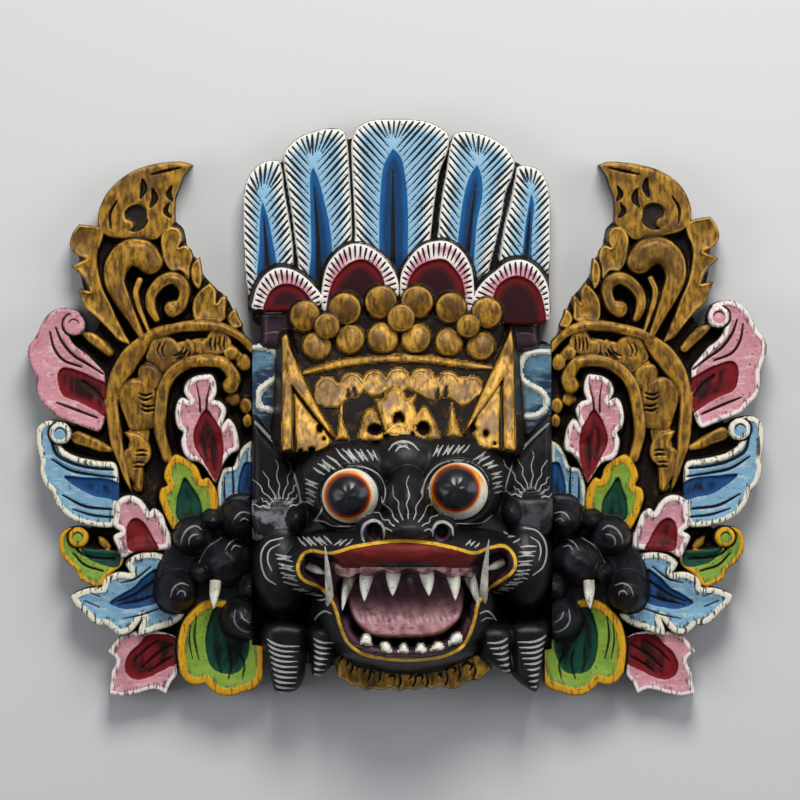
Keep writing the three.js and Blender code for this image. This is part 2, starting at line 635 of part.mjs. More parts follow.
function makeCentre() {
  const panels = PANELS.map((points) => relief(cornered(points), PANEL_TOP));
  const shoulders = SHOULDER_SCALLOPS.map((points) => relief(outline(points), PANEL_TOP + 6));
  const curves = S_CURVES.map((stations) => relief(stroke(stations), PANEL_TOP + 2.5, 1));
  const ears = EARS.map((points) => relief(outline(points), 48));
  const blocks = SIDE_BLOCKS.map((points) => relief(outline(points), 62, 4));
  const braids = BRAIDS.map(({ points, top }) => relief(outline(points), top, 5));
  const tongue = lump(6, 92, 50, 28, MOUTH_FLOOR, TONGUE_TOP, 12, 2);
  const teeth = LOWER_TEETH.map(([x, y]) => lump(x, y, 5, 7, TOOTH_LEDGE + 4, TOOTH_LEDGE + 11, 6, 1));
  const nostrils = NOSTRILS.map(([x, y, r]) => prism(ring(x, y, r, 7), NOSE_FRONT - 22, NOSE_FRONT));
  const mouth = prism(outline(MOUTH), MOUTH_FLOOR, NOSE_FRONT)
    .add(prism(outline(MOUTH_LEDGE), TOOTH_LEDGE, NOSE_FRONT));
  const corners = MOUTH_CORNERS.map((points) => prism(outline(points), CORNER_FLOOR, NOSE_FRONT));
  const shaped = join([
    prism(outline(CENTRE_GROUND), -REACH_BACK, CENTRE_BOARD),
    prism(outline(CROWN_GROUND), -REACH_BACK, CENTRE_BOARD),
    ...makeCrown(),
    ...makeTiara(),
    ...panels,
    ...shoulders,
    ...curves,
    ...ears,
    ...blocks,
    ...braids,
    relief(outline(CHIN_LEAVES), CHIN_TOP, 4),
    ...makeFace(),
  ]);
  const opened = [mouth, ...corners, ...nostrils].reduce((body, cut) => body.subtract(cut), shaped);
  const filled = join([opened, tongue, ...teeth]);
  const side = SEAM_X * U;
  const wide = MASK_HEIGHT * 2;
  const sockets = join(FANGS.map(({ root, tip, half }) => fang(root, tip, half, FIT)));
  const feathered = filled.intersect(join([
    box(-side, side, -wide, FEATHERS[0][0][1] * U, -wide, wide),
    box(-wide, wide, FEATHERS[0][0][1] * U - 1, wide, -wide, wide),
  ]));
  return feathered.subtract(sockets).subtract(hollowShape());
}

const mask = new THREE.Group();
const leftWing = makeWing(-1);
const rightWing = makeWing(1);
const pieces = [
  toMesh('face_and_crown', planed(makeCentre()), blackLacquer),
  toMesh('wing_left', leftWing.body, gold),
  toMesh('wing_right', rightWing.body, gold),
  ...FANGS.map(({ name, root, tip, half }) => toMesh(name, fang(root, tip, half), ivory)),
  toMesh('wing_fang_left', leftWing.fang, ivory),
  toMesh('wing_fang_right', rightWing.fang, ivory),
];
mask.add(...pieces);

// The drawing's middle and lowest leaf move so that the origin is under the middle of the mask
const reach = new THREE.Box3().setFromObject(mask);
mask.position.set(-(reach.min.x + reach.max.x) / 2, -(reach.min.y + reach.max.y) / 2, 0);

export default mask;
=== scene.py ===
import math

import bmesh
import bpy
import numpy as np
from mathutils import Matrix, Vector


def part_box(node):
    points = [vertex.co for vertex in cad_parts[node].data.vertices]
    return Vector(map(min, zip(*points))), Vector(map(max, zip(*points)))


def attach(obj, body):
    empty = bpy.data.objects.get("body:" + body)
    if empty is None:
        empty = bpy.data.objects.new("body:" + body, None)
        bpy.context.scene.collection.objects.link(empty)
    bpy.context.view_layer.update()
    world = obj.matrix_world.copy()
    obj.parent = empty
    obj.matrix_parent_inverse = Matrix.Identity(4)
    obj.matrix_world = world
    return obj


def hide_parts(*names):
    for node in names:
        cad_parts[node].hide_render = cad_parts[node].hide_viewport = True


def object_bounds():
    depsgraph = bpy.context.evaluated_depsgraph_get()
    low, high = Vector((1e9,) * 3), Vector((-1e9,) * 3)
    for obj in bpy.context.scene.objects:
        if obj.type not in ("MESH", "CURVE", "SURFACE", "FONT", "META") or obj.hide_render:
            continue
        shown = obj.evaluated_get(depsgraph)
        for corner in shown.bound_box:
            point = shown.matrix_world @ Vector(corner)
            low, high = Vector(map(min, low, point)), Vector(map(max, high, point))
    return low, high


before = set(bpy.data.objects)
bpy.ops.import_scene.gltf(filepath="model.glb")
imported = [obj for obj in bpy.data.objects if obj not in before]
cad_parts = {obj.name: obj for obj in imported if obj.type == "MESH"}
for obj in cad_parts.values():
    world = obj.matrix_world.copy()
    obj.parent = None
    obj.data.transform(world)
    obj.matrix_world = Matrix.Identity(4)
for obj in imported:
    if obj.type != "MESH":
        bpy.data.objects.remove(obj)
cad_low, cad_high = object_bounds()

# The wings: two boards of soft wood, each carved from the front with a gold horn and hooks,
# painted leaves with coiled tips, and the black locks of the beast's mane. They are chiselled
# freehand over one drawing, left and right mirrored, then painted and rubbed with dark wax.
# Their hollows and steep sides are darkened by the dark wax and by painted shade.
SHARES_IN_HEIGHT = 582  # the drawing is counted in shares of the mask's height
MASK_HEIGHT = 0.390
SHARE = MASK_HEIGHT / SHARES_IN_HEIGHT
SHARE_MM = SHARE * 1000
SEAM_X = 150
SEAM_GAP = 0.0003
MIDDLE_Y = cad_high.y - SHARES_IN_HEIGHT * SHARE
WALL_SLOPE = 6.0  # how steeply the chisel goes down beside a raised shape
WING_STEP = 1.0  # spacing of the wings' mesh, in shares
WING_BOARD = 15  # heights above the back in mm, here and below
HORN_TOP = 25
HOOK_TOP = 35
ARC_TOP = 30
FRIEZE_TOP = 26
CURL_LEAF_TOP = 30
LOW_LEAF_TOP = 34
LOCK_TOP = 56
MANE_TOP = 31
HEART_DEPTH = 2.6
NO_HEART = -20.0  # a mark's value far from any heart, drawn line or edge, in shares
NO_LINE = 9.0
NO_EDGE = 6.0
FAR_OUT = -99.0
NEAR_REACH = 5  # how wide around a place it is compared with its surroundings, in shares
FAR_REACH = 16
LEAST_STRIP = 0.12  # the narrowest strip of mesh at a cut edge, as a part of the spacing
LOW_REACH = {-1: (139.5, 54), 1: (143.5, 50)}  # the lowest leaf: how far in, up to where
MIDDLE_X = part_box("wing_right")[0].x - LOW_REACH[1][0] * SHARE
RIGHT_PALE = 4.5  # the pale rim that only the right wing's pink curl has
RIGHT_LEAN = 14
RIGHT_LIFT = 8


def spline(points, closed, step=1.5):
    """A smooth line through the points, with more columns than x and y carried along."""
    p = np.array(points, float)
    if closed:
        through = np.vstack([p[-1:], p, p[:2]])
    else:
        through = np.vstack([2 * p[:1] - p[1:2], p, 2 * p[-1:] - p[-2:-1]])
    line = []
    for i in range(len(through) - 3):
        a, b, c, d = through[i:i + 4]
        ab, bc, cd = (max(math.hypot(*(v - u)[:2]), 1e-6) ** 0.5 for u, v in ((a, b), (b, c), (c, d)))
        leave = (c - b) + bc * ((b - a) / ab - (c - a) / (ab + bc))
        arrive = (c - b) + bc * ((d - c) / cd - (d - b) / (bc + cd))
        count = max(1, math.ceil(math.hypot(*(c - b)[:2]) / step))
        t = (np.arange(count) / count)[:, None]
        line.append(b + t * leave + t * t * (3 * (c - b) - 2 * leave - arrive)
                    + t ** 3 * (leave + arrive - 2 * (c - b)))
    if not closed:
        line.append(p[-1:])
    return np.vstack(line)


def loop(points):
    """A closed outline. A point that is written twice is a sharp corner."""
    corners = [i for i in range(len(points)) if points[i] == points[i - 1]]
    if not corners:
        return spline(points, True)
    turned = points[corners[0]:] + points[:corners[0]]
    arcs, arc = [], [turned[0]]
    for point in turned[1:]:
        if point == arc[-1]:
            arcs.append(arc)
            arc = [point]
        else:
            arc.append(point)
    arcs.append(arc)
    return np.vstack([spline(arc, False)[:-1] if len(arc) > 1 else np.array(arc, float) for arc in arcs])


class Filled:
    """The area inside an outline, as a distance: positive inside, in shares."""

    def __init__(self, points):
        self.line = loop(points)
        self.low = self.line.min(0)
        self.high = self.line.max(0)

    def __call__(self, x, y):
        nearest = np.full(x.shape, 1e9)
        inside = np.zeros(x.shape, bool)
        ends = np.roll(self.line, -1, axis=0)
        for (ax, ay), (bx, by) in zip(self.line, ends):
            vx, vy = bx - ax, by - ay
            t = np.clip(((x - ax) * vx + (y - ay) * vy) / (vx * vx + vy * vy + 1e-12), 0, 1)
            np.minimum(nearest, (x - ax - t * vx) ** 2 + (y - ay - t * vy) ** 2, out=nearest)
            if ay != by:
                inside ^= ((ay > y) != (by > y)) & (x < vx * (y - ay) / vy + ax)
        return np.where(inside, 1, -1) * np.sqrt(nearest)


class Stroke:
    """A line that swells and thins, as a distance inside it. Its stations are x, y, half width."""

    def __init__(self, stations, step=2.0):
        self.line = spline(stations, False, step)
        reach = self.line[:, 2].max()
        self.low = self.line[:, :2].min(0) - reach
        self.high = self.line[:, :2].max(0) + reach

    def __call__(self, x, y):
        best = np.full(x.shape, -1e9)
        for (ax, ay, ar), (bx, by, br) in zip(self.line[:-1], self.line[1:]):
            vx, vy = bx - ax, by - ay
            t = np.clip(((x - ax) * vx + (y - ay) * vy) / (vx * vx + vy * vy + 1e-12), 0, 1)
            gap = np.hypot(x - ax - t * vx, y - ay - t * vy)
            np.maximum(best, ar + t * (br - ar) - gap, out=best)
        return best


class Round:
    """A round or oval area, as a distance inside it. It can be turned, in radians."""

    def __init__(self, x, y, half_x, half_y=None, turn=0.0):
        self.at = np.array([x, y], float)
        self.half = np.array([half_x, half_y or half_x], float)
        self.turn = turn
        reach = self.half if turn == 0 else self.half.max()
        self.low = self.at - reach
        self.high = self.at + reach

    def __call__(self, x, y):
        c, s = math.cos(self.turn), math.sin(self.turn)
        across = (x - self.at[0]) * c + (y - self.at[1]) * s
        along = (y - self.at[1]) * c - (x - self.at[0]) * s
        return (1 - np.hypot(across / self.half[0], along / self.half[1])) * self.half.min()


def ease(value, low, high):
    t = np.clip((value - low) / (high - low), 0, 1)
    return t * t * (3 - 2 * t)


def rounded(radius):
    """A flat top whose edge is rounded over by a radius in mm."""
    def profile(x, y, d):
        short = np.clip(1 - d * SHARE_MM / radius, 0, 1)
        return -radius * (1 - np.sqrt(1 - short * short))
    return profile


def leafy(rim, fall=1.6):
    """A leaf: a rounded raised rim of so many shares, and a body that dips behind it."""
    edge = rounded(1.6)

    def profile(x, y, d):
        return edge(x, y, d) - 0.9 * ease(d, rim - 0.7, rim + 0.9) - fall * ease(d, rim, rim + 12)
    return profile


class Carving:
    """One block of wood as a field of heights over the drawing, with the marks its paint needs."""

    MARKS = {"edge": 0.0, "heart": NO_HEART, "line": NO_LINE, "near": NO_LINE, "tone": 0.0}

    def __init__(self, low, high, step):
        self.step = step
        self.x, self.y = np.meshgrid(
            np.arange(low[0], high[0] + step, step), np.arange(low[1], high[1] + step, step), indexing="ij")
        self.height = np.full(self.x.shape, -1e3)
        self.brink = np.zeros(self.x.shape)
        self.inside = np.full(self.x.shape, FAR_OUT)
        self.paint = np.zeros(self.x.shape, int)
        self.marks = {name: np.full(self.x.shape, value) for name, value in self.MARKS.items()}

    def window(self, low, high, margin=7.0):
        first = [self.x[0, 0], self.y[0, 0]]
        size = self.x.shape
        spans = []
        for k in range(2):
            start = int((low[k] - margin - first[k]) / self.step)
            stop = int((high[k] + margin - first[k]) / self.step) + 2
            spans.append(slice(max(start, 0), min(max(stop, 0), size[k])))
        return tuple(spans)

    def stand(self, area, top, paint, profile=None, heart=None, depth=HEART_DEPTH, blend=0.0, wall=None,
              **marks):
        """Leaves wood standing inside an area up to a height in mm and gives it and its wall their paint."""
        here = self.window(area.low, area.high)
        x, y = self.x[here], self.y[here]
        d = area(x, y)
        deep = np.maximum(d, 0)
        z = (top(x, y) if callable(top) else top) + (profile or rounded(1.6))(x, y, deep)
        dip = heart(x, y) if heart else np.full(x.shape, NO_HEART)
        z = z - depth * ease(dip, -0.4, 1.2)
        z = z + WALL_SLOPE * SHARE_MM * np.minimum(d, 0)
        outer = d > self.inside[here]
        self.brink[here] = np.where(
            outer & (d < self.step * 2), z - WALL_SLOPE * SHARE_MM * np.minimum(d, 0), self.brink[here])
        self.inside[here] = np.maximum(self.inside[here], d)
        if blend:
            close = np.clip(1 - np.abs(z - self.height[here]) / blend, 0, 1)
            melted = (self.paint[here] == PAINTS.index(paint)) & (close > 0)
            z = np.where(melted, np.maximum(z, self.height[here]) + close * close * blend / 4, z)
        won = z > self.height[here]
        self.height[here] = np.where(won, z, self.height[here])
        painted = np.where(d < -0.5, PAINTS.index(wall or paint), PAINTS.index(paint))
        self.paint[here] = np.where(won, painted, self.paint[here])
        given = {**self.MARKS, "edge": d, "heart": dip, **marks}
        for name, value in given.items():
            value = value(x, y) if callable(value) else value
            self.marks[name][here] = np.where(won, value, self.marks[name][here])

    def laid(self, points):
        """Where the drawing's points lie on this block."""
        return points

    def solid(self, points, top, paint, radius, *more, **marks):
        """Leaves the inside of an outline standing, its edge rounded over by a radius in mm."""
        self.stand(Filled(self.laid(points)), top, paint, rounded(radius), *more, **marks)

    def bar(self, stations, top, paint, radius, **marks):
        """Leaves a bar standing that swells and thins along its stations."""
        self.stand(Stroke(self.laid(stations)), top, paint, rounded(radius), **marks)

    def cut(self, stations, depth=0.0, on=None, dense=False):
        """Draws a line with a brush or gouge: x, y and half width, its depth in mm.

        The mark that the paint reads has a sign for the line's side, so that a hairline isn't lost
        between two places of the field; lines that lie close together go without the sign.
        """
        line = spline(stations, False, 2.0) if len(stations) > 2 else np.array(stations, float)
        reach = line[:, 2].max() + 2.5
        here = self.window(line[:, :2].min(0), line[:, :2].max(0), reach)
        x, y = self.x[here], self.y[here]
        near = np.full(x.shape, NO_LINE)
        side = np.full(x.shape, NO_LINE)
        for (ax, ay, ar), (bx, by, br) in zip(line[:-1], line[1:]):
            vx, vy = bx - ax, by - ay
            t = np.clip(((x - ax) * vx + (y - ay) * vy) / (vx * vx + vy * vy + 1e-12), 0, 1)
            half = np.maximum(ar + t * (br - ar), 0.15)
            dx, dy = x - ax - t * vx, y - ay - t * vy
            gap = np.hypot(dx, dy) / half
            left = np.sign(dx * -vy + dy * vx) * gap
            closer = gap < near
            side = np.where(closer, left, side)
            near = np.minimum(near, gap)
        allowed = np.ones(x.shape, bool)
        if on:
            allowed = np.isin(self.paint[here], [PAINTS.index(name) for name in on])
        self.height[here] -= np.where(allowed, depth * np.clip(1 - near * near, 0, 1), 0)
        closer = allowed & (near < self.marks["near"][here])
        self.marks["near"][here] = np.where(closer, near, self.marks["near"][here])
        self.marks["line"][here] = np.where(closer, near if dense else side, self.marks["line"][here])

    def hollows(self, reach):
        """How far a place lies below its surroundings, in mm: where the dark wax stays and painted shade is
        laid.
        """
        wood = (self.inside > 0).astype(float)
        count = max(1, int(reach / self.step))
        kernel = np.hanning(2 * count + 3)[1:-1]
        kernel /= kernel.sum()

        def spread(field):
            for axis in (0, 1):
                field = np.apply_along_axis(lambda row: np.convolve(row, kernel, mode="same"), axis, field)
            return field
        level = spread(np.where(wood > 0, self.height, 0) * wood) / np.maximum(spread(wood), 1e-3)
        return level - self.height

    def block(self, name, keep, hollow=None):
        """Turns the field into one closed mesh: the carving, straight sides and a flat back."""
        inside = np.minimum(self.inside, keep(self.x, self.y))
        inside = np.where(np.abs(inside) < LEAST_STRIP * self.step, LEAST_STRIP * self.step, inside)
        solid = inside > 0
        height = np.where(self.inside > 0, self.height, self.brink)
        fields = [self.x, self.y, height] + [self.marks[m] for m in self.MARKS]
        # how deep each place lies, near and wide, for the dark wax and the painted shade in the hollows
        fields += [self.hollows(NEAR_REACH), self.hollows(FAR_REACH)]
        names = list(self.MARKS) + ["crevice", "valley"]
        index = np.full(solid.shape, -1)
        index[solid] = np.arange(solid.sum())
        rows = [field[solid] for field in fields]
        full = solid[:-1, :-1] & solid[1:, :-1] & solid[1:, 1:] & solid[:-1, 1:]
        some = (solid[:-1, :-1] | solid[1:, :-1] | solid[1:, 1:] | solid[:-1, 1:]) & ~full
        i, j = np.nonzero(full)
        quads = np.stack([index[i, j], index[i + 1, j], index[i + 1, j + 1], index[i, j + 1]], 1)
        corner_height = np.stack([height[i, j], height[i + 1, j], height[i + 1, j + 1], height[i, j + 1]])
        corner_paint = np.stack([self.paint[i, j], self.paint[i + 1, j], self.paint[i + 1, j + 1],
                                 self.paint[i, j + 1]])
        paints = list(np.take_along_axis(corner_paint, corner_height.argmax(0)[None], 0)[0])
        faces = [tuple(q) for q in quads.tolist()]
        extra, rim, crossings = [], [], {}

        def crossing(p, q):
            key = (p, q) if p < q else (q, p)
            if key not in crossings:
                t = inside[key[0]] / (inside[key[0]] - inside[key[1]])
                extra.append([f[key[0]] + t * (f[key[1]] - f[key[0]]) for f in fields])
                crossings[key] = int(solid.sum()) + len(extra) - 1
            return crossings[key]

        for ci, cj in zip(*np.nonzero(some)):
            ring = [(ci, cj), (ci + 1, cj), (ci + 1, cj + 1), (ci, cj + 1)]
            face = []
            for k in range(4):
                p, q = ring[k], ring[(k + 1) % 4]
                if solid[p]:
                    face.append(int(index[p]))
                if solid[p] != solid[q]:
                    face.append(crossing(p, q))
            faces.append(tuple(face))
            owner = max((p for p in ring if solid[p]), key=lambda p: height[p])
            paints.append(self.paint[owner])
            for a, b in zip(face, face[1:] + face[:1]):
                if a >= solid.sum() and b >= solid.sum():
                    rim.append((a, b))
        values = np.vstack([np.stack(rows, 1), np.array(extra)])
        top_count = len(values)
        bottoms = {}
        floor_rows = []
        for a, b in rim:
            for v in (a, b):
                if v not in bottoms:
                    bottoms[v] = top_count + len(floor_rows)
                    row = values[v].copy()
                    row[2] = 0.0
                    floor_rows.append(row)
        values = np.vstack([values, np.array(floor_rows)])
        for a, b in rim:
            faces.append((b, a, bottoms[a], bottoms[b]))
            paints.append(PAINTS.index("side"))
        places = np.stack([
            values[:, 0] * SHARE + MIDDLE_X, values[:, 1] * SHARE + MIDDLE_Y, values[:, 2] / 1000], 1)
        mesh = bpy.data.meshes.new(name)
        mesh.from_pydata(places.tolist(), [], faces)
        for k, mark in enumerate(names):
            mesh.attributes.new(mark, "FLOAT", "POINT").data.foreach_set(
                "value", values[:, 3 + k].astype(np.float32))
        used = sorted(set(int(paint) for paint in paints) | {PAINTS.index("back")})
        for paint in used:
            mesh.materials.append(FINISHES[PAINTS[paint]])
        back_slot = used.index(PAINTS.index("back"))
        mesh.polygons.foreach_set("material_index", np.searchsorted(used, np.array(paints)).astype(np.int32))
        work = bmesh.new()
        work.from_mesh(mesh)
        work.verts.ensure_lookup_table()
        rim_edges = [work.edges.get((work.verts[a], work.verts[b])) for a, b in rim]
        floor_edges = [work.edges.get((work.verts[bottoms[a]], work.verts[bottoms[b]])) for a, b in rim]
        for edge in rim_edges + floor_edges:
            edge.smooth = False
        if hollow:
            floor_edges += hollow(work, back_slot)
        filled = bmesh.ops.triangle_fill(work, edges=floor_edges, normal=(0, 0, -1))
        for face in filled["geom"]:
            if isinstance(face, bmesh.types.BMFace):
                face.material_index = back_slot
        for face in work.faces:
            face.smooth = len(face.verts) > 3 or face.normal.z > -0.9
        work.to_mesh(mesh)
        work.free()
        piece = bpy.data.objects.new(name, mesh)
        bpy.context.scene.collection.objects.link(piece)
        return piece


PAINTS = [
    "ground", "side", "back", "gold", "pink", "blue", "green", "lacquer", "feather", "scallop", "panel",
    "shoulder", "cream", "face", "eye", "red", "gum", "throat", "tongue", "tooth",
]


WING_GROUND = [
    (150, 12), (150, 12), (150, 352), (150, 352), (163, 375), (176, 402), (188, 413), (201, 428), (
        206, 441), (215, 452), (220, 472), (229, 482), (229, 512), (250, 525), (288, 508), (300, 476),
    (314, 470), (324, 446), (318, 408), (302, 388), (312, 366), (344, 372), (362, 344), (350, 296),
    (322, 280), (344, 262), (354, 224), (338, 190), (308, 178), (326, 156), (318, 126), (300, 116),
    (320, 98), (296, 76), (262, 70), (282, 52), (280, 10), (246, 18), (228, 34), (214, 22), (184, 12),
]
HORN = [
    (210, 536), (210, 536), (221, 539), (240, 538), (255, 535), (269, 530), (283, 521), (295, 509),
    (302, 496), (305, 484), (304, 472), (297, 465), (282, 462), (262, 461), (246, 461), (239, 468),
    (232, 473), (228, 480), (228, 490), (227, 503), (223, 513), (219, 524),
]
HORN_SPIRAL = [
    (254, 482, 2), (255, 494, 3), (264, 500, 4), (276, 497, 4.5), (283, 488, 5), (281, 478, 5.5),
    (275, 475, 5.5),
]
HORN_EYE = (269, 484, 15)
HORN_SLITS = [
    [(260, 520, 2), (259, 512, 4), (262, 503, 1.5)], [(250, 510, 2), (248, 502, 4), (252, 494, 1.5)],
    [(231, 514, 1), (234, 506, 3), (230, 500, 1)], [(234, 497, 1), (237, 489, 3), (232, 483, 1)],
    [(222, 533, 0.8), (236, 530, 1.6), (252, 526, 0.8)], [
        (286, 500, 0.8), (293, 486, 1.6), (292, 472, 0.8)],
]
OUTER_LOBES = [
    (324, 476), (324, 476), (314, 475), (304, 473), (300, 467), (302, 457), (305, 450), (306, 438),
    (304, 426), (300, 412), (293, 398), (286, 382), (278, 366), (273, 356), (283, 359), (293, 369),
    (305, 381), (317, 391), (321, 400), (326, 411), (326, 411), (313, 409), (313, 409), (318, 421),
    (332, 434), (332, 434), (317, 441), (317, 441), (327, 446), (333, 455), (330, 468),
]
BIG_HOOK = [
    (261, 364, 3), (271, 383, 5), (281, 402, 8), (288, 420, 10), (285, 436, 12), (274, 447, 13),
    (260, 446, 14), (252, 438, 12),
]
SLIVER = [(263, 420, 3), (267, 408, 3), (265, 396, 3), (260, 383, 2.5), (254, 368, 1.5)]
SECOND_CURL = [
    (246, 381, 3), (251, 391, 4.5), (252, 402, 5), (248, 411, 5.5), (240, 419, 6), (231, 422, 6),
    (222, 418, 6), (218, 410, 5.5), (219, 402, 5), (223, 394, 6), (230, 391, 8),
]
INNER_LEAVES = [
    [(242, 460), (240, 467), (233, 474), (233, 474), (225, 472), (221, 466), (221, 460), (224, 453),
     (218, 455), (212, 451), (210, 443), (213, 432), (214, 421), (222, 429), (231, 429), (237, 435)],
    [(211, 433), (208, 439), (203, 443), (203, 443), (201, 430), (201, 418), (204, 411), (210, 418)],
    [(210, 389), (209, 400), (203, 409), (193, 417), (193, 417), (187, 410), (186, 397), (181, 403),
     (176, 404), (176, 404), (177, 390), (178, 380), (207, 380)],
    [(175, 380), (172, 388), (167, 392), (167, 392), (164, 383), (160, 374), (168, 372)],
]
ARC = [
    (150, 357), (153, 361), (163, 369), (174, 375), (186, 379), (208, 380), (228, 377), (249, 372),
    (258, 367), (269, 359), (279, 350), (287, 338), (293, 325), (296, 310), (297, 294), (295, 271),
    (291, 252), (285, 237), (278, 219), (271, 207), (271, 207), (275, 228), (279, 245), (281, 264),
    (284, 284), (285, 300), (280, 315), (272, 325), (264, 337), (257, 348), (251, 360), (238, 364),
    (222, 368), (206, 369), (190, 369), (176, 366), (164, 360), (150, 347),
]
FRIEZE = [
    [(255, 350), (252, 361), (239, 365), (229, 361), (221, 352), (216, 361), (209, 357), (208, 348),
     (211, 341), (226, 336), (239, 327), (247, 333), (257, 341)],
    [(265, 325), (263, 333), (256, 336), (247, 333), (241, 325), (241, 317), (249, 309), (259, 314)],
    [(286, 304), (282, 315), (272, 321), (261, 320), (249, 313), (246, 300), (247, 285), (249, 272),
     (258, 270), (272, 270), (279, 284)],
    [(278, 267), (266, 267), (257, 261), (252, 250), (253, 240), (260, 232), (262, 218), (262, 207),
     (269, 215), (276, 226), (281, 238), (279, 248), (272, 254)],
    [(206, 359), (197, 361), (192, 369), (184, 372), (175, 367), (171, 357), (178, 347), (192, 344),
     (205, 345)], [(179, 346), (175, 352), (167, 353), (163, 346), (169, 340), (176, 340)],
    [(166, 334), (163, 343), (157, 346), (152, 339), (153, 331), (160, 329)],
    [(178, 300), (172, 307), (164, 305), (163, 297), (170, 293)],
    [(163, 294), (158, 302), (152, 299), (151, 290), (158, 286)],
    [(160, 280), (155, 286), (151, 282), (151, 274), (157, 272)],
]
FRIEZE_BAND = [
    (265, 212, 5), (267, 235, 8), (264, 262, 10), (262, 290, 12), (254, 318, 12), (240, 342, 11),
    (218, 351, 8), (195, 354, 8), (176, 352, 6), (160, 339, 5),
]
FRIEZE_SLITS = [
    [(251, 304, 1.5), (258, 302, 2.6), (264, 304, 1)], [(249, 292, 1.5), (256, 291, 2.8), (262, 293, 1)],
    [(256, 246, 1), (261, 247, 2.6), (267, 246, 1)], [(258, 234, 1), (264, 235, 2.4), (269, 234, 1)],
    [(180, 363, 1), (181, 356, 2.2), (180, 350, 1)], [(189, 362, 1), (190, 355, 2.2), (189, 349, 1)],
    [(217, 352, 1), (221, 345, 2.4), (228, 342, 1)], [(240, 357, 1), (243, 350, 1.8), (241, 343, 1)],
    [(214, 349, 1), (217, 345, 2.0), (223, 341, 1)],
]
INNER_BAND = [
    (235, 242, 5), (239, 254, 5), (242, 265, 5.5), (243, 277, 6), (242, 288, 6), (241, 300, 6),
    (239, 311, 6), (233, 323, 6), (225, 331, 6), (214, 337, 6), (203, 339, 6), (191, 339, 6), (180, 337, 6),
    (173, 330, 6), (169, 321, 7), (172, 314, 8),
]
LOBED_LEAF = [
    (199, 325), (191, 325), (187, 318), (186, 307), (189, 300), (189, 300), (182, 298), (176, 290),
    (178, 281), (182, 271), (182, 271), (174, 281), (168, 275), (164, 262), (164, 250), (171, 246),
    (179, 236), (187, 217), (187, 217), (202, 237), (212, 240), (218, 246), (221, 259), (219, 267),
    (224, 272), (227, 284), (224, 299), (220, 302), (213, 299), (213, 299), (218, 308), (216, 317),
    (208, 323),
]
LOBED_HEART = [
    (204, 280), (196, 290), (188, 281), (181, 268), (179, 245), (182, 230), (187, 218), (187, 218),
    (200, 240), (209, 260),
]
LOBED_VEINS = [
    [(192, 316, 0.5), (195, 302, 1.0), (196, 290, 1.4)], [
        (206, 316, 0.5), (203, 302, 1.0), (202, 288, 1.4)],
    [(190, 262, 0.6), (190, 245, 1.4), (188, 228, 0.5)], [
        (199, 272, 0.6), (199, 255, 1.4), (195, 238, 0.5)],
]
TONGUES = [
    [(318, 366, 3), (311, 362, 5), (302, 355, 5), (293, 347, 4)],
    [(325, 262, 7), (314, 258, 6), (303, 253, 5), (293, 250, 3)],
    [(304, 162, 1), (300, 157, 4), (295, 152, 3)],
]
FLUTE_WIDTH = 1.5
CURL_LEAVES = [
    {"paint": "pink", "rim": 5.0, "pale": 0.0, "coil": (329, 375.5, 11.5), "body": [
         (322, 386), (339, 392), (350, 389), (358, 382), (363, 372), (368, 362), (373.5, 355), (375.3, 346),
         (372, 334), (367, 322), (366, 309), (361, 297), (353, 290), (344, 282), (331, 277), (316, 272),
         (304, 269), (298, 282), (297, 302), (298, 320), (299, 327), (307, 336), (317, 346), (327, 353),
         (333, 361), (334, 372)], "heart": [
         (345, 326), (340, 332), (322, 328), (306, 321), (297, 316), (297, 282), (297, 282), (307, 289),
         (325, 298), (339, 304), (344, 313)], "flutes": [
         [(347, 372, 0.7), (342, 360, 1.1), (330, 345, 1.1), (314, 335, 1.0), (300, 326, 0.8)],
         [(353, 368, 0.6), (349, 352, 1.0), (340, 340, 1.0), (322, 333, 0.8)],
         [(346, 297, 0.6), (330, 291, 1.0), (306, 282, 0.8)],
         [(320, 318, 1.4), (308, 308, 1.8), (300, 300, 1.2)]]},
    {"paint": "blue", "rim": 5.0, "pale": 5.0, "coil": (343, 266.5, 11.5), "body": [
         (338, 275), (350, 279), (359, 278), (365.8, 271), (366.5, 259), (364, 245), (362, 236), (363, 231),
         (361, 221), (357, 213), (351, 207), (347, 196), (338, 185), (327, 178), (314, 174), (300, 172),
         (289, 173), (285, 190), (284, 215), (288, 236), (301, 238), (314, 240), (329, 244), (340, 251),
         (345, 262)], "heart": [
         (339, 223), (321, 222), (293, 220), (282, 214), (282, 199), (295, 201), (310, 204), (324, 211)],
     "flutes": [
         [(352, 262, 0.8), (347, 246, 1.3), (330, 236, 1.3), (308, 231, 1.1), (290, 230, 0.9)],
         [(351, 240, 0.6), (332, 229, 1.1), (306, 224, 1.0), (288, 222, 0.8)],
         [(340, 204, 0.6), (318, 193, 1.1), (292, 190, 0.9)],
         [(330, 190, 0.5), (310, 184, 1.0), (290, 182, 0.8)]]},
    {"paint": "green", "rim": 3.6, "pale": 4.4, "coil": (325, 162, 10.5), "body": [
         (319, 171), (331, 172), (340, 168), (344, 158), (342, 145), (334, 135), (326, 128), (324, 121),
         (314, 115), (305, 112), (300, 115), (295, 123), (281, 135), (280, 146), (300, 149), (316, 151),
         (325, 155)],
     "heart": [(322, 151), (314, 140), (300, 134), (284, 133), (283, 147), (300, 149), (314, 152)],
     "flutes": [
         [(330, 158, 0.6), (322, 146, 1.0), (306, 141, 1.0), (288, 140, 0.8)],
         [(330, 146, 0.5), (318, 134, 0.9), (300, 128, 0.7)]]},
]
PETAL = [
    (288, 185), (287, 195), (281, 202), (271, 204), (261, 199), (253, 187), (253, 187), (249, 191),
    (241, 186), (236, 173), (232, 162), (233, 152), (250, 149), (270, 147), (279, 142), (285, 152),
    (289, 163), (282, 168), (282, 168), (289, 174),
]
PETAL_HEART = [
    (273, 149), (276, 164), (275, 175), (269, 181), (261, 179), (254, 170), (248, 159), (244, 150),
]
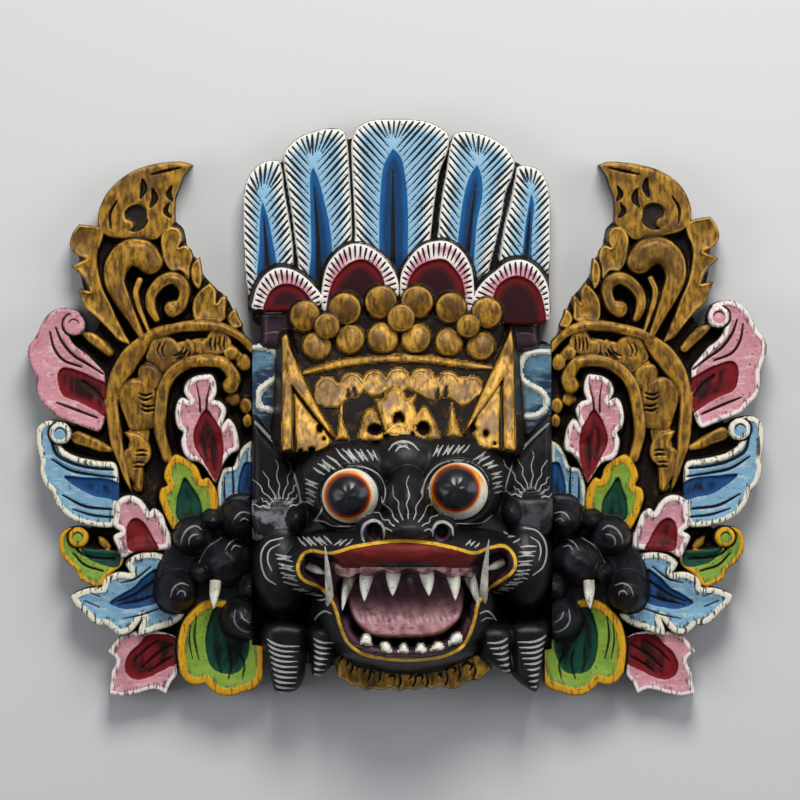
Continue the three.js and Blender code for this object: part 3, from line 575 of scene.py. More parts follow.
WIDE_LEAF = [
    (332, 103), (324, 108), (315, 111), (301, 112), (301, 112), (299, 119), (291, 125), (284, 127),
    (272, 126), (272, 126), (277, 136), (272, 142), (262, 146), (251, 147), (239, 145), (230, 138),
    (222, 106), (218, 84), (230, 74), (244, 69), (256, 65), (264, 63), (264, 63), (264, 69), (260, 81),
    (260, 81), (272, 67), (283, 64), (290, 68), (296, 73), (305, 74), (313, 79), (320, 87), (328, 94),
]
WIDE_HEART = [
    (293, 96), (281, 105), (270, 111), (259, 122), (246, 130), (244, 112), (246, 97), (261, 92), (276, 90),
    (286, 92),
]
WIDE_VEINS = [
    [(286, 97, 0.6), (268, 104, 1.8), (248, 118, 1.4)], [(284, 94, 0.5), (264, 98, 1.4), (246, 104, 1.2)],
    [(282, 116, 0.5), (268, 120, 1.2), (252, 132, 0.8)], [(280, 80, 0.5), (262, 84, 1.0), (244, 90, 0.8)],
    [(304, 92, 0.6), (318, 98, 0.8)], [(303, 102, 0.5), (312, 106, 0.6)],
]
UPPER_GREEN = [
    (227, 245), (220, 243), (212, 239), (205, 232), (200, 220), (195, 222), (190, 217), (186, 207),
    (185, 192), (190, 170), (226, 168), (236, 182), (240, 192), (243, 202), (241, 211), (235, 214),
    (238, 222), (237, 230), (233, 238),
]
UPPER_GREEN_HEART = [(218, 222), (210, 212), (202, 198), (202, 180), (224, 180), (226, 198), (222, 212)]
SEAM_LEAF = [
    (150, 259), (150, 259), (157, 255), (164, 246), (169, 233), (174, 232), (180, 230), (184, 218),
    (185, 200), (182, 178), (150, 170), (150, 170),
]
SEAM_HEART = [(150, 236), (157, 237), (162, 226), (165, 208), (165, 178), (150, 176)]
SEAM_VEINS = [
    [(170, 232, 0.6), (169, 212, 1.4), (170, 184, 1.0)], [
        (178, 222, 0.5), (178, 206, 1.2), (177, 186, 0.8)],
]
BOTTOM_GREEN = [
    (196, 98), (211, 88), (219, 78), (223, 66), (225, 52), (224, 38), (222, 26), (215, 17), (206, 14),
    (197, 16), (197, 16), (192, 10), (183, 4.4), (169, 3.6), (159, 7), (159, 7), (151, 9), (142, 16),
    (138, 28), (138, 56), (150, 80), (170, 96),
]
BOTTOM_HEART = [
    (186, 92), (194, 76), (197, 60), (195, 43), (189, 30), (177, 25), (164, 27), (156, 40), (153, 56),
    (160, 80),
]
BOTTOM_FLUTES = [
    [(206, 82, 0.6), (208, 62, 1.3), (204, 40, 0.6)], [(212, 74, 0.5), (213, 58, 1.0), (210, 40, 0.5)],
    [(172, 48, 1.0), (170, 36, 1.6), (174, 20, 0.7)], [(183, 50, 1.0), (184, 38, 1.6), (181, 26, 0.7)],
    [(162, 46, 0.8), (158, 34, 1.2), (160, 20, 0.6)],
]
CORNER_LEAF = [
    (281, 64), (290, 54), (295, 47), (295, 47), (287, 40), (287, 34), (291, 27), (292, 16), (295, 5),
    (295, 5), (281, 2.8), (267, 5), (253, 9), (246, 9), (237, 5), (237, 5), (232, 16), (226, 24), (226, 33),
    (226, 60), (256, 68),
]
CORNER_HEART = [
    (256, 63), (264, 54), (273, 46), (278, 34), (276, 24), (268, 19), (257, 20), (246, 25), (234, 31),
    (226, 35), (226, 60),
]
CORNER_FLUTES = [
    [(230, 54, 0.8), (246, 44, 1.8), (262, 30, 0.8)], [(244, 58, 0.7), (256, 50, 1.4), (270, 36, 0.6)],
    [(230, 42, 0.7), (242, 35, 1.3), (254, 26, 0.5)],
]
MANE = [
    (150, 206), (150, 206), (172, 204), (186, 192), (204, 186), (228, 178), (236, 158), (246, 130),
    (248, 104), (240, 88), (218, 84), (204, 92), (192, 96), (182, 70), (172, 56), (150, 56), (150, 56),
]
LOCKS = [
    (163, 180, 19, 19), (209, 163, 21, 19), (176, 138, 27, 26), (226, 108, 21, 21), (160, 81, 22, 22),
    (201, 128, 13, 14), (152, 112, 14, 16), (190, 180, 12, 10),
]
LOCK_LINES = [
    [(221, 156, 0.5), (218.8, 164.8, 0.9), (212.9, 172.1, 1.0), (205.6, 174.3, 1.0), (200.4, 170.7, 0.5)],
    [(212.9, 156, 0.6), (212.2, 161.9, 0.9), (208.5, 165.5, 0.9), (203.4, 166, 0.5)],
    [(167.4, 180.9, 0.4), (163.8, 186.1, 0.8), (158.6, 188.3, 0.8), (152.3, 186.8, 0.4)],
    [(161.5, 179.5, 0.4), (158, 182, 0.8), (153.5, 180.2, 0.4)],
    [(176.2, 150.9, 0.4), (172.6, 156.7, 0.8), (166, 160.4, 0.9), (159.4, 158.2, 0.5)],
    [(170.4, 150.6, 0.5), (167.4, 154.5, 0.8), (161.6, 153.2, 0.4)],
    [(203.4, 136.9, 0.3), (195.3, 151.6, 0.7), (180.6, 161.9, 0.4)],
    [(231.2, 104.1, 0.4), (227.6, 113.5, 0.7), (220.2, 117.1, 0.8), (213.4, 114.7, 0.4)],
    [(224.6, 106.1, 0.5), (221.7, 109.6, 0.8), (217.3, 108.3, 0.8), (216.6, 104.5, 0.4)],
    [(166.7, 90.5, 0.4), (167.4, 79.7, 0.9), (163, 72.4, 1.0), (154.2, 68, 0.9), (152, 68.7, 0.4)],
    [(161.1, 88.5, 0.3), (159, 82.6, 0.8), (153.2, 78.2, 0.5)],
]


class Wing(Carving):
    """One wing: the drawing is read outwards from the mask's middle and laid to its own side."""

    def __init__(self, side):
        self.side = side
        low, high = ((-382, -4), (-136, 548)) if side < 0 else ((136, -4), (382, 548))
        super().__init__(low, high, WING_STEP)

    def laid(self, points):
        placed = []
        for out, y, *rest in points:
            lean = RIGHT_LEAN * ease(y, 170, 470) * ease(out, 140, 230) if self.side > 0 else 0
            lift = RIGHT_LIFT * ease(out, 240, 330) * ease(y, 140, 400) if self.side > 0 else 0
            placed.append((self.side * (out - float(lean)), y + float(lift), *rest))
        return placed

    def leaf(self, points, top, paint, rim, heart=None, fall=1.6, pale=None):
        """A leaf with a raised rim; the pale paint on the rim may be wider or narrower than the rim."""
        heart = Filled(self.laid(heart)) if heart else None
        self.stand(Filled(self.laid(points)), top, paint, leafy(rim, fall), heart,
                   tone=rim if pale is None else pale)

    def cuts(self, lines, depth, on=None):
        for line in lines:
            self.cut(self.laid(line), depth, on)

    def pairs(self, lines, gap, depth, on):
        """Cuts two thin slits side by side for each line."""
        for line in lines:
            (first_x, first_y, _), (last_x, last_y, _) = line[0], line[-1]
            length = math.hypot(last_x - first_x, last_y - first_y)
            step_x, step_y = gap * (last_y - first_y) / length, gap * (first_x - last_x) / length
            for side in (-0.5, 0.5):
                slit = [(x + side * step_x, y + side * step_y, 0.55 * half) for x, y, half in line]
                self.cut(self.laid(slit), depth, on, True)

    def arc(self, at, reach, first, last, half, depth, on):
        """Cuts an arc round a place, from one angle to another, counted from outward in degrees."""
        (x, y, radius), = self.laid([at])
        line = []
        for k in range(9):
            angle = math.radians(first + (last - first) * k / 8)
            line.append((x + self.side * reach * radius * math.cos(angle),
                         y + reach * radius * math.sin(angle),
                         half * (0.4 + 0.6 * math.sin(math.pi * (k + 0.5) / 9))))
        self.cut(line, depth, on)

    def coil(self, leaf, pale):
        """The rolled tip of a leaf: a round end that a groove parts from the leaf."""
        (x, y, radius), = self.laid([leaf["coil"]])
        on = (leaf["paint"],)
        self.stand(Round(x, y, radius), CURL_LEAF_TOP + 2.5, leaf["paint"], rounded(3), tone=pale)
        self.arc(leaf["coil"], 1.0, 70, -115, 1.3, 2.4, on)
        self.arc(leaf["coil"], 0.45, 170, 20, 1.0, 1.2, on)

    def lock(self, at, turn):
        """A lock of mane: a dome that a swirl of flat chisel strokes winds over."""
        (x, y, half_x, half_y), = self.laid([at])
        dome = LOCK_TOP - 26

        def bulge(u, v, d):
            reach = np.clip(np.hypot((u - x) / half_x, (v - y) / half_y), 0, 1)
            angle = self.side * np.arctan2(v - y, u - x)
            swirl = 0.75 * np.cos(angle + 8.5 * reach + 6 * turn) * np.sin(math.pi * reach) ** 0.7
            facets = 0.5 * np.cos(5 * angle + 9 * turn + 3 * reach) * reach
            return -dome * (1 - np.sqrt(1 - 0.92 * reach * reach)) + swirl + facets
        self.stand(Round(x, y, half_x, half_y), LOCK_TOP - (4 if half_x < 15 else 1.2), "lacquer", bulge,
                   blend=3.0, tone=turn)


def carve_wing(side):
    wing = Wing(side)
    wing.solid(WING_GROUND, WING_BOARD, "ground", 1.0)
    eye_x, eye_y, eye_r = HORN_EYE
    eye = Round(*wing.laid([(eye_x, eye_y)])[0], eye_r)
    wing.solid(HORN, HORN_TOP, "gold", 3, eye, 6.0)
    wing.bar(HORN_SPIRAL, HORN_TOP, "gold", 2.5)
    wing.cuts(HORN_SLITS, 3.5, ("gold",))
    wing.leaf(OUTER_LOBES, HORN_TOP + 1, "gold", 3, fall=0.9, pale=0.0)
    wing.solid(ARC, ARC_TOP, "gold", 3.5)
    wing.bar(FRIEZE_BAND, FRIEZE_TOP - 2.5, "gold", 2)
    for points in FRIEZE:
        wing.solid(points, FRIEZE_TOP, "gold", 3)
    wing.pairs(FRIEZE_SLITS, 4.6, 3.0, ("gold",))
    for points in INNER_LEAVES:
        wing.leaf(points, FRIEZE_TOP, "gold", 2.5, fall=0.9, pale=0.0)
    wing.bar(SLIVER, ARC_TOP, "gold", 2.5)
    wing.bar(BIG_HOOK, HOOK_TOP, "gold", 6)
    wing.bar(SECOND_CURL, HOOK_TOP, "gold", 4.5)
    wing.bar(INNER_BAND, ARC_TOP + 2, "gold", 4)
    for points in TONGUES:
        wing.bar(points, FRIEZE_TOP, "gold", 3)
    for leaf in CURL_LEAVES:
        pale = leaf["pale"] or (0.0 if side < 0 else RIGHT_PALE)
        wing.leaf(leaf["body"], CURL_LEAF_TOP, leaf["paint"], leaf["rim"], leaf["heart"], pale=pale)
        flutes = [[(x, y, FLUTE_WIDTH * half) for x, y, half in line] for line in leaf["flutes"]]
        wing.cuts(flutes, 2.4, (leaf["paint"],))
        wing.coil(leaf, pale)
    wing.leaf(LOBED_LEAF, HOOK_TOP + 2, "pink", 5.0, LOBED_HEART)
    wing.cuts(LOBED_VEINS, 2.0, ("pink",))
    wing.leaf(SEAM_LEAF, CURL_LEAF_TOP, "blue", 5.0, SEAM_HEART, pale=3.5)
    wing.cuts(SEAM_VEINS, 2.0, ("blue",))
    wing.leaf(UPPER_GREEN, LOW_LEAF_TOP, "green", 7.0, UPPER_GREEN_HEART)
    wing.leaf(PETAL, LOW_LEAF_TOP, "pink", 5.5, PETAL_HEART)
    wing.leaf(WIDE_LEAF, CURL_LEAF_TOP, "blue", 6.0, WIDE_HEART)
    wing.cuts(WIDE_VEINS, 2.0, ("blue",))
    wing.leaf(CORNER_LEAF, FRIEZE_TOP, "pink", 0.5, CORNER_HEART, pale=3.5)
    wing.cuts(CORNER_FLUTES, 2.0, ("pink",))
    wing.leaf(BOTTOM_GREEN, LOW_LEAF_TOP, "green", 7.5, BOTTOM_HEART)
    wing.cuts(BOTTOM_FLUTES, 2.0, ("green",))
    wing.solid(MANE, MANE_TOP, "lacquer", 4)
    for k, lock in enumerate(LOCKS):
        wing.lock(lock, (k * 0.37) % 1)
    wing.cuts(LOCK_LINES, 0.25, ("lacquer",))
    return wing


class Nodes:
    """Short ways to add and join the nodes of a paint or of a shared effect."""

    def __init__(self, tree):
        self.tree = tree

    def feed(self, socket, value):
        if isinstance(value, bpy.types.NodeSocket):
            self.tree.links.new(value, socket)
        else:
            socket.default_value = value

    def mark(self, name):
        node = self.tree.nodes.new("ShaderNodeAttribute")
        node.attribute_name = name
        return node.outputs["Fac"]

    def math(self, kind, a, b=0.0):
        node = self.tree.nodes.new("ShaderNodeMath")
        node.operation = kind
        self.feed(node.inputs[0], a)
        self.feed(node.inputs[1], b)
        return node.outputs[0]

    def times(self, a, b):
        return self.math("MULTIPLY", a, b)

    def plus(self, a, b):
        return self.math("ADD", a, b)

    def less(self, share):
        """What a share leaves of 1."""
        return self.math("SUBTRACT", 1.0, share)

    def sway(self, noise, reach):
        """A noise from 0 to 1 as a value that goes as far below 0 as above it."""
        return self.times(self.math("SUBTRACT", noise, 0.5), reach)

    def rise(self, value, low, high):
        """From 0 to 1, softly, while a value goes from low to high."""
        node = self.tree.nodes.new("ShaderNodeMapRange")
        node.interpolation_type = "SMOOTHSTEP"
        self.feed(node.inputs["Value"], value)
        self.feed(node.inputs["From Min"], low)
        self.feed(node.inputs["From Max"], high)
        return node.outputs["Result"]

    def mix(self, share, a, b, kind="MIX"):
        node = self.tree.nodes.new("ShaderNodeMix")
        node.data_type = "RGBA"
        node.blend_type = kind
        self.feed(node.inputs[0], share)
        self.feed(node.inputs[6], (*a, 1) if isinstance(a, tuple) else a)
        self.feed(node.inputs[7], (*b, 1) if isinstance(b, tuple) else b)
        return node.outputs[2]

    def noise(self, scale, detail=3.0, stretch=(1, 1, 1), shift=0.0):
        place = self.tree.nodes.new("ShaderNodeTexCoord")
        turn = self.tree.nodes.new("ShaderNodeMapping")
        turn.inputs["Location"].default_value = (shift, shift, shift)
        turn.inputs["Scale"].default_value = stretch
        node = self.tree.nodes.new("ShaderNodeTexNoise")
        node.inputs["Scale"].default_value = scale
        node.inputs["Detail"].default_value = detail
        self.tree.links.new(place.outputs["Object"], turn.inputs["Vector"])
        self.tree.links.new(turn.outputs["Vector"], node.inputs["Vector"])
        return node.outputs[0]

    def use(self, effect, **given):
        node = self.tree.nodes.new("ShaderNodeGroup")
        node.node_tree = effect
        for name, value in given.items():
            self.feed(node.inputs[name.capitalize()], value)
        return node.outputs


def effect(name, inputs, outputs):
    """An empty shader node group with its sockets; gives its nodes, its inputs and its outputs."""
    tree = bpy.data.node_groups.new(name, "ShaderNodeTree")
    for socket, kind in inputs.items():
        tree.interface.new_socket(socket, in_out="INPUT", socket_type=kind)
    for socket, kind in outputs.items():
        tree.interface.new_socket(socket, in_out="OUTPUT", socket_type=kind)
    return Nodes(tree), tree.nodes.new("NodeGroupInput").outputs, tree.nodes.new("NodeGroupOutput").inputs


FLOAT, COLOUR = "NodeSocketFloat", "NodeSocketColor"


def brush_lines():
    """Where the brush or gouge has drawn a line: 1 on the line, broken a little by dry paint."""
    n, _, out = effect("brush lines", {}, {"Line": FLOAT})
    side = n.math("ABSOLUTE", n.mark("line"))
    ragged = n.sway(n.noise(900, 2), 0.5)
    inside = n.less(n.rise(n.plus(side, ragged), 0.75, 1.1))
    near = n.less(n.rise(n.mark("near"), 1.5, 2.2))
    n.feed(out["Line"], n.times(inside, near))
    return n.tree


def wax_and_painted_shade():
    """Darkens corners, low places and steep sides with dark wax and painted shade, and lightens the ridges
    with worn paint and a painted highlight.
    """
    n, given, out = effect(
        "wax and painted shade", {"Colour": COLOUR, "Depth": FLOAT, "Wear": FLOAT}, {"Colour": COLOUR})
    crevice, valley, edge = n.mark("crevice"), n.mark("valley"), n.mark("edge")
    # corners, low places and steep sides are darkened: dark wax and painted shade
    corner = n.rise(crevice, 0.25, 1.9)
    low = n.times(n.rise(valley, 0.5, 7.0), 0.55)
    side = n.less(n.rise(edge, -0.9, 0.7))
    wax_and_shade = n.math("MAXIMUM", n.math("MAXIMUM", corner, low), side)
    patchy = n.plus(wax_and_shade, n.sway(n.noise(140, 4), 0.35))
    share = n.times(n.rise(patchy, 0.05, 0.95), given["Depth"])
    # ridges are lightened: worn paint and a painted highlight
    worn_and_highlit = n.times(n.rise(n.times(crevice, -1.0), 0.15, 1.2), given["Wear"])
    lighter = n.mix(worn_and_highlit, given["Colour"], (0.9, 0.85, 0.72), "OVERLAY")
    specks = n.times(n.rise(n.noise(520, 3, shift=3.0), 0.63, 0.7), 0.75)
    specked = n.mix(specks, lighter, (0.02, 0.014, 0.01))
    n.feed(out["Colour"], n.mix(share, specked, (0.012, 0.008, 0.006)))
    return n.tree


def chisel_facets():
    """The flat strokes of a chisel and the grain under the paint, as a height."""
    n, _, out = effect("chisel facets", {}, {"Height": FLOAT})
    place = n.tree.nodes.new("ShaderNodeTexCoord")
    cells = n.tree.nodes.new("ShaderNodeTexVoronoi")
    cells.inputs["Scale"].default_value = 130
    n.feed(cells.inputs["Vector"], place.outputs["Object"])
    grain = n.noise(500, 3, (1, 0.12, 1))
    n.feed(out["Height"], n.plus(n.times(cells.outputs["Distance"], 0.6),
                                 n.times(grain, 0.5)))
    return n.tree


LINES, WAX_AND_SHADE, FACETS = brush_lines(), wax_and_painted_shade(), chisel_facets()


def finish(name, colour_of, roughness, metallic=0.0, coat=0.0, bump=0.25, wax=1.0, wear=0.3, shine=0.32):
    """A painted wood finish: its own colour, darkened in its hollows by dark wax and painted shade and
    lightened on its ridges by worn paint and a painted highlight, over chiselled wood.
    """
    made = bpy.data.materials.new(name)
    made.use_nodes = True
    n = Nodes(made.node_tree)
    shader = made.node_tree.nodes["Principled BSDF"]
    # wax sets how much dark wax and painted shade darken the hollows; wear sets how much worn paint and a
    # painted highlight lighten the ridges
    waxed_and_shaded = n.use(WAX_AND_SHADE, colour=colour_of(n), depth=wax, wear=wear)["Colour"]
    n.feed(shader.inputs["Base Color"], waxed_and_shaded)
    patches = n.noise(60, 3, shift=7.0)
    n.feed(shader.inputs["Roughness"], n.plus(n.times(patches, 0.3), roughness - 0.15))
    shader.inputs["Metallic"].default_value = metallic
    shader.inputs["Coat Weight"].default_value = coat
    shader.inputs["Specular IOR Level"].default_value = shine
    shader.inputs["Coat Roughness"].default_value = 0.2
    surface = made.node_tree.nodes.new("ShaderNodeBump")
    surface.inputs["Strength"].default_value = bump
    surface.inputs["Distance"].default_value = 0.0006
    n.feed(surface.inputs["Height"], n.use(FACETS)["Height"])
    n.feed(shader.inputs["Normal"], surface.outputs["Normal"])
    return made


def gold_colour(n):
    streaks = n.noise(360, 6, (1, 0.35, 1), 2.0)
    patches = n.noise(48, 4, shift=5.0)
    gold = n.mix(n.rise(streaks, 0.32, 0.66), (0.090, 0.042, 0.006), (0.46, 0.235, 0.020))
    bright = n.mix(n.rise(streaks, 0.34, 0.6), (0.22, 0.105, 0.012), (0.66, 0.36, 0.045))
    # the tone mark brightens the gold; on the flowers' petals this brightness is painted light and shade
    gold = n.mix(n.times(n.mark("tone"), 0.9), gold, bright)
    gold = n.mix(n.times(n.rise(patches, 0.42, 0.68), 0.85), gold, (0.085, 0.038, 0.007))
    # a lighter band just inside the edge of each gold shape, broken by noise: a painted highlight on the
    # rounded edges
    rim = n.times(n.rise(n.mark("edge"), 0.3, 1.0),
                 n.less(n.rise(n.mark("edge"), 1.4, 3.0)))
    worn_and_highlit = n.times(rim, n.rise(n.noise(90, 3, shift=8.0), 0.35, 0.6))
    gold = n.mix(n.times(worn_and_highlit, 0.5), gold, (0.78, 0.47, 0.10))
    gold = n.mix(n.rise(n.mark("heart"), -1.0, 1.0), gold, (0.014, 0.009, 0.006))
    return n.mix(n.use(LINES)["Line"], gold, (0.014, 0.009, 0.006))


def leaf_colour(rim, body, heart, vein, cracked):
    """A painted leaf: a pale rim with dark cracks, then its colour, sharply set off from its heart."""
    def colour_of(n):
        edge = n.mark("edge")
        wave = n.sway(n.noise(170, 2), 2.4)
        deep = n.rise(n.plus(n.mark("heart"), wave), -0.9, 0.5)
        inner = n.rise(n.plus(n.mark("heart"), n.times(wave, 2.5)), 2.0, 9.0)
        black = tuple(0.10 * part for part in heart)
        streaky = n.rise(n.noise(150, 3, (1, 0.35, 1), 15.0), 0.36, 0.58)
        shade = n.mix(n.times(inner, streaky), heart, black)
        streaks = n.rise(n.noise(420, 3, (0.3, 1, 1), 1.0), 0.5, 0.75)
        pale = n.mix(n.times(streaks, 0.45), body, rim)
        pale = n.mix(n.times(n.rise(n.noise(60, 3, shift=11.0), 0.5, 0.75), 0.45), pale,
                     tuple(0.55 * part for part in body))
        width = n.plus(n.mark("tone"), wave)
        past = n.math("SUBTRACT", edge, width)
        colour = n.mix(n.less(n.rise(past, -0.5, 0.5)), pale, rim)
        crack = n.times(n.rise(n.noise(560, 4, (1, 0.16, 1), 13.0), 0.54, 0.60),
                       n.less(n.rise(past, 1.0, 5.0)))
        colour = n.mix(n.times(crack, cracked), colour, (0.035, 0.03, 0.025))
        colour = n.mix(deep, colour, shade)
        return n.mix(n.times(n.use(LINES)["Line"], 0.92), colour, vein)
    return colour_of


def lacquer_colour(n):
    cloudy = n.rise(n.noise(70, 4, shift=4.0), 0.4, 0.75)
    black = n.mix(cloudy, (0.0045, 0.0045, 0.006), (0.017, 0.018, 0.025))
    scratched = n.times(n.rise(n.noise(480, 4, (1, 0.25, 1), 6.0), 0.66, 0.74), 0.25)
    black = n.mix(scratched, black, (0.16, 0.16, 0.18))
    faded = n.times(n.use(LINES)["Line"], n.plus(0.15, n.times(n.noise(130, 3), 0.9)))
    return n.mix(faded, black, (0.36, 0.36, 0.37))


def ground_colour(n):
    return n.mix(n.rise(n.noise(170, 4), 0.5, 0.8), (0.009, 0.006, 0.005), (0.085, 0.044, 0.012))


def side_colour(n):
    return n.mix(n.noise(120, 4, (1, 1, 0.2)), (0.018, 0.012, 0.008), (0.085, 0.050, 0.022))


def back_colour(n):
    return n.mix(n.noise(90, 5, (1, 0.08, 1)), (0.13, 0.075, 0.035), (0.24, 0.15, 0.08))


FINISHES = {
    "ground": finish("dark gold ground", ground_colour, 0.65, shine=0.12),
    "side": finish("stained side wood", side_colour, 0.65, wax=0.0, wear=0.0),
    "back": finish("bare back wood", back_colour, 0.75, wax=0.0, wear=0.0),
    "gold": finish("antique gold paint", gold_colour, 0.44, 0.22, wax=1.0, wear=0.35, bump=0.6, shine=0.35),
    "pink": finish("pink leaf paint", leaf_colour(
        (0.80, 0.69, 0.66), (0.56, 0.245, 0.29), (0.175, 0.004, 0.008), (0.035, 0.008, 0.010), 0.75),
        0.55, shine=0.2),
    "blue": finish("blue leaf paint", leaf_colour(
        (0.74, 0.70, 0.56), (0.185, 0.36, 0.50), (0.007, 0.060, 0.195), (0.010, 0.018, 0.040), 0.92),
        0.55, shine=0.2),
    "green": finish("green leaf paint", leaf_colour(
        (0.62, 0.31, 0.010), (0.19, 0.33, 0.040), (0.004, 0.058, 0.032), (0.006, 0.026, 0.014), 0.6),
        0.55, shine=0.2),
    "lacquer": finish("black lacquer", lacquer_colour, 0.45, wax=0.15, wear=0.0, bump=0.6, shine=0.24),
}

for side, name in ((-1, "wing_left"), (1, "wing_right")):
    low_in, low_up = LOW_REACH[side]
    block = carve_wing(side).block("carved_" + name, lambda x, y: side * x - np.where(
        y < low_up, low_in, SEAM_X + SEAM_GAP / SHARE))
    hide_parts(name)
    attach(block, "root")


# The centre block: one thick piece of wood with the beast's face at the bottom, its gold tiara and
# flowers above the brows, and a crown of five feathers. The face is black lacquer with fine pale
# strokes, the feathers are blue and white with cut barbs, and the mouth is hollowed out and painted.
CENTRE_STEP = 1.36  # spacing of the middle's mesh, in shares
CENTRE_BOARD = 18
FEATHER_TOPS = (25, 29, 33, 29, 25)
SCALLOP_TOP = 42
FLOWER_TOP = 56
TIARA_FOOT = 41
TIARA_FRONT = 70
PANEL_TOP = 24
BROW_TOP = 86
STROKE_ROOM = 4.4  # strokes in a row lie at least this many half widths apart
EYE_FRONT = 103
NOSE_FRONT = 126
LIP_FRONT = 121
JAW_FRONT = 108
LOWER_LIP_FRONT = 104
MOUTH_FLOOR = 62
CORNER_FLOOR = 72
TOOTH_LEDGE = 88
TONGUE_TOP = 88
EAR_TOP = 48
SIDE_BLOCK_TOP = 62
KEYHOLE_FLOOR = 58
BLADE_HOLE_FLOOR = 60
GUM_Y = 134
GUM_BEND = 0.004  # how far the gum falls back at its ends, mm a share squared
GUM_RISE = 0.35
CHIN_TOP = 58
FACE_X = 3
FACE_Y = 160
HOLLOW_HALF_X = 0.050
HOLLOW_HALF_Y = 0.065
HOLLOW_DEPTH = 0.044
HOLLOW_TAPER = 0.0126
HOLLOW_SIDES = 32

CENTRE_GROUND = [
    (-139, 392), (-139, 362), (-149, 355), (-150, 300), (-150, 70), (-139, 50), (-118, 40), (-60, 34),
    (0, 28), (64, 34), (112, 40), (139, 50), (150, 70), (150, 300), (149, 355), (136, 362), (136, 392),
]
CROWN_GROUND = [
    (-148, 378), (-152, 430), (-153, 500), (-146, 520), (-128, 532), (-104, 552), (-50, 562), (48, 560),
    (102, 545), (130, 528), (143, 505), (144, 430), (144, 378),
]
FEATHERS = [
    {"outline": [
         (-151, 388), (-155, 410), (-158, 440), (-158, 512), (-153, 526), (-145, 535), (-134, 540),
         (-124, 540), (-120, 530), (-118, 510), (-114, 487), (-110, 460), (-109, 434), (-112, 385)],
     "heart": [
         (-140, 500), (-140, 500), (-134, 482), (-130, 462), (-126, 440), (-122, 400), (-142, 400),
         (-143, 460), (-142, 488)], "rib": [(-134, 395), (-135, 430), (-137, 465), (-140, 499)]},
    {"outline": [
         (-112, 400), (-104, 430), (-107, 462), (-112, 500), (-118, 535), (-118, 548), (-110, 558),
         (-100, 565), (-89, 569), (-77, 572), (-65, 572), (-58, 569), (-55, 560), (-53, 538), (-51, 500),
         (-50, 462), (-52, 430), (-60, 400)], "heart": [
         (-89, 534), (-89, 534), (-83, 520), (-78, 500), (-73, 478), (-70, 450), (-74, 400), (-92, 400),
         (-91, 450), (-92, 500), (-92, 524)], "rib": [(-82, 400), (-82, 440), (-86, 480), (-89, 533)]},
    {"outline": [
         (-52, 430), (-47, 462), (-48, 500), (-50, 538), (-50, 560), (-46, 571), (-37, 578), (-25, 581),
         (-9, 581.8), (12, 581), (28, 578), (40, 572), (47, 565), (45, 548), (38, 530), (34, 508),
         (31, 485), (28, 455), (26, 420)], "heart": [
         (-9, 552), (-9, 552), (-1, 543), (4, 520), (6, 495), (6, 440), (4, 400), (-24, 400), (-23, 450),
         (-22, 500), (-18, 535)], "rib": [(-9, 400), (-9, 450), (-9, 500), (-9, 551)]},
    {"outline": [
         (26, 440), (36, 465), (38, 485), (41, 508), (45, 530), (48, 553), (52, 566), (60, 569), (70, 569),
         (85, 565), (100, 557), (108, 549), (113, 539), (110, 523), (104, 508), (100, 485), (95, 462),
         (88, 432), (86, 405)], "heart": [
         (76, 536), (76, 536), (80, 524), (81, 505), (76, 480), (73, 450), (68, 400), (48, 400), (55, 450),
         (62, 503), (69, 526)], "rib": [(60, 400), (64, 440), (70, 480), (76, 535)]},
    {"outline": [
         (90, 405), (98, 440), (104, 477), (110, 500), (114, 523), (116, 533), (125, 535), (136, 532),
         (144, 523), (148, 510), (148, 420), (145, 390)], "heart": [
         (130, 509), (130, 509), (133, 496), (131, 470), (130, 430), (128, 395), (112, 395), (120, 440),
         (125, 480)], "rib": [(120, 395), (123, 430), (128, 470), (130, 508)]},
]
SCALLOPS = [
    {"outline": [
         (-150, 392), (-149, 399), (-145, 413), (-136, 426), (-125, 432), (-112, 431), (-100, 425),
         (-88, 414), (-80, 402), (-84, 394)],
     "heart": [(-138, 390), (-136, 399), (-130, 410), (-118, 416), (-104, 413), (-94, 404), (-90, 392)]},
    {"outline": [
         (-80, 400), (-80, 412), (-74, 436), (-62, 450), (-50, 456), (-37, 455), (-23, 447), (-11, 434),
         (-4, 418), (-6, 390), (-14, 376), (-68, 376), (-80, 390)], "heart": [
         (-72, 376), (-71, 413), (-62, 428), (-50, 438), (-37, 440), (-23, 429), (-18, 417), (-20, 376)]},
    {"outline": [
         (-2, 408), (0, 428), (9, 444), (21, 455), (35, 459), (47, 458), (59, 450), (67, 438), (71, 425),
         (71, 390), (64, 376), (4, 376), (-2, 390)],
     "heart": [(6, 376), (6, 416), (14, 431), (28, 439), (43, 440), (55, 428), (61, 416), (60, 376)]},
    {"outline": [
         (72, 400), (74, 408), (82, 419), (94, 429), (106, 438), (121, 440), (133, 434), (142, 423),
         (147, 410), (148, 396), (146, 380), (110, 376), (78, 384)], "heart": [
         (92, 376), (94, 410), (103, 420), (115, 424), (127, 420), (136, 411), (141, 398), (142, 374)]},
]
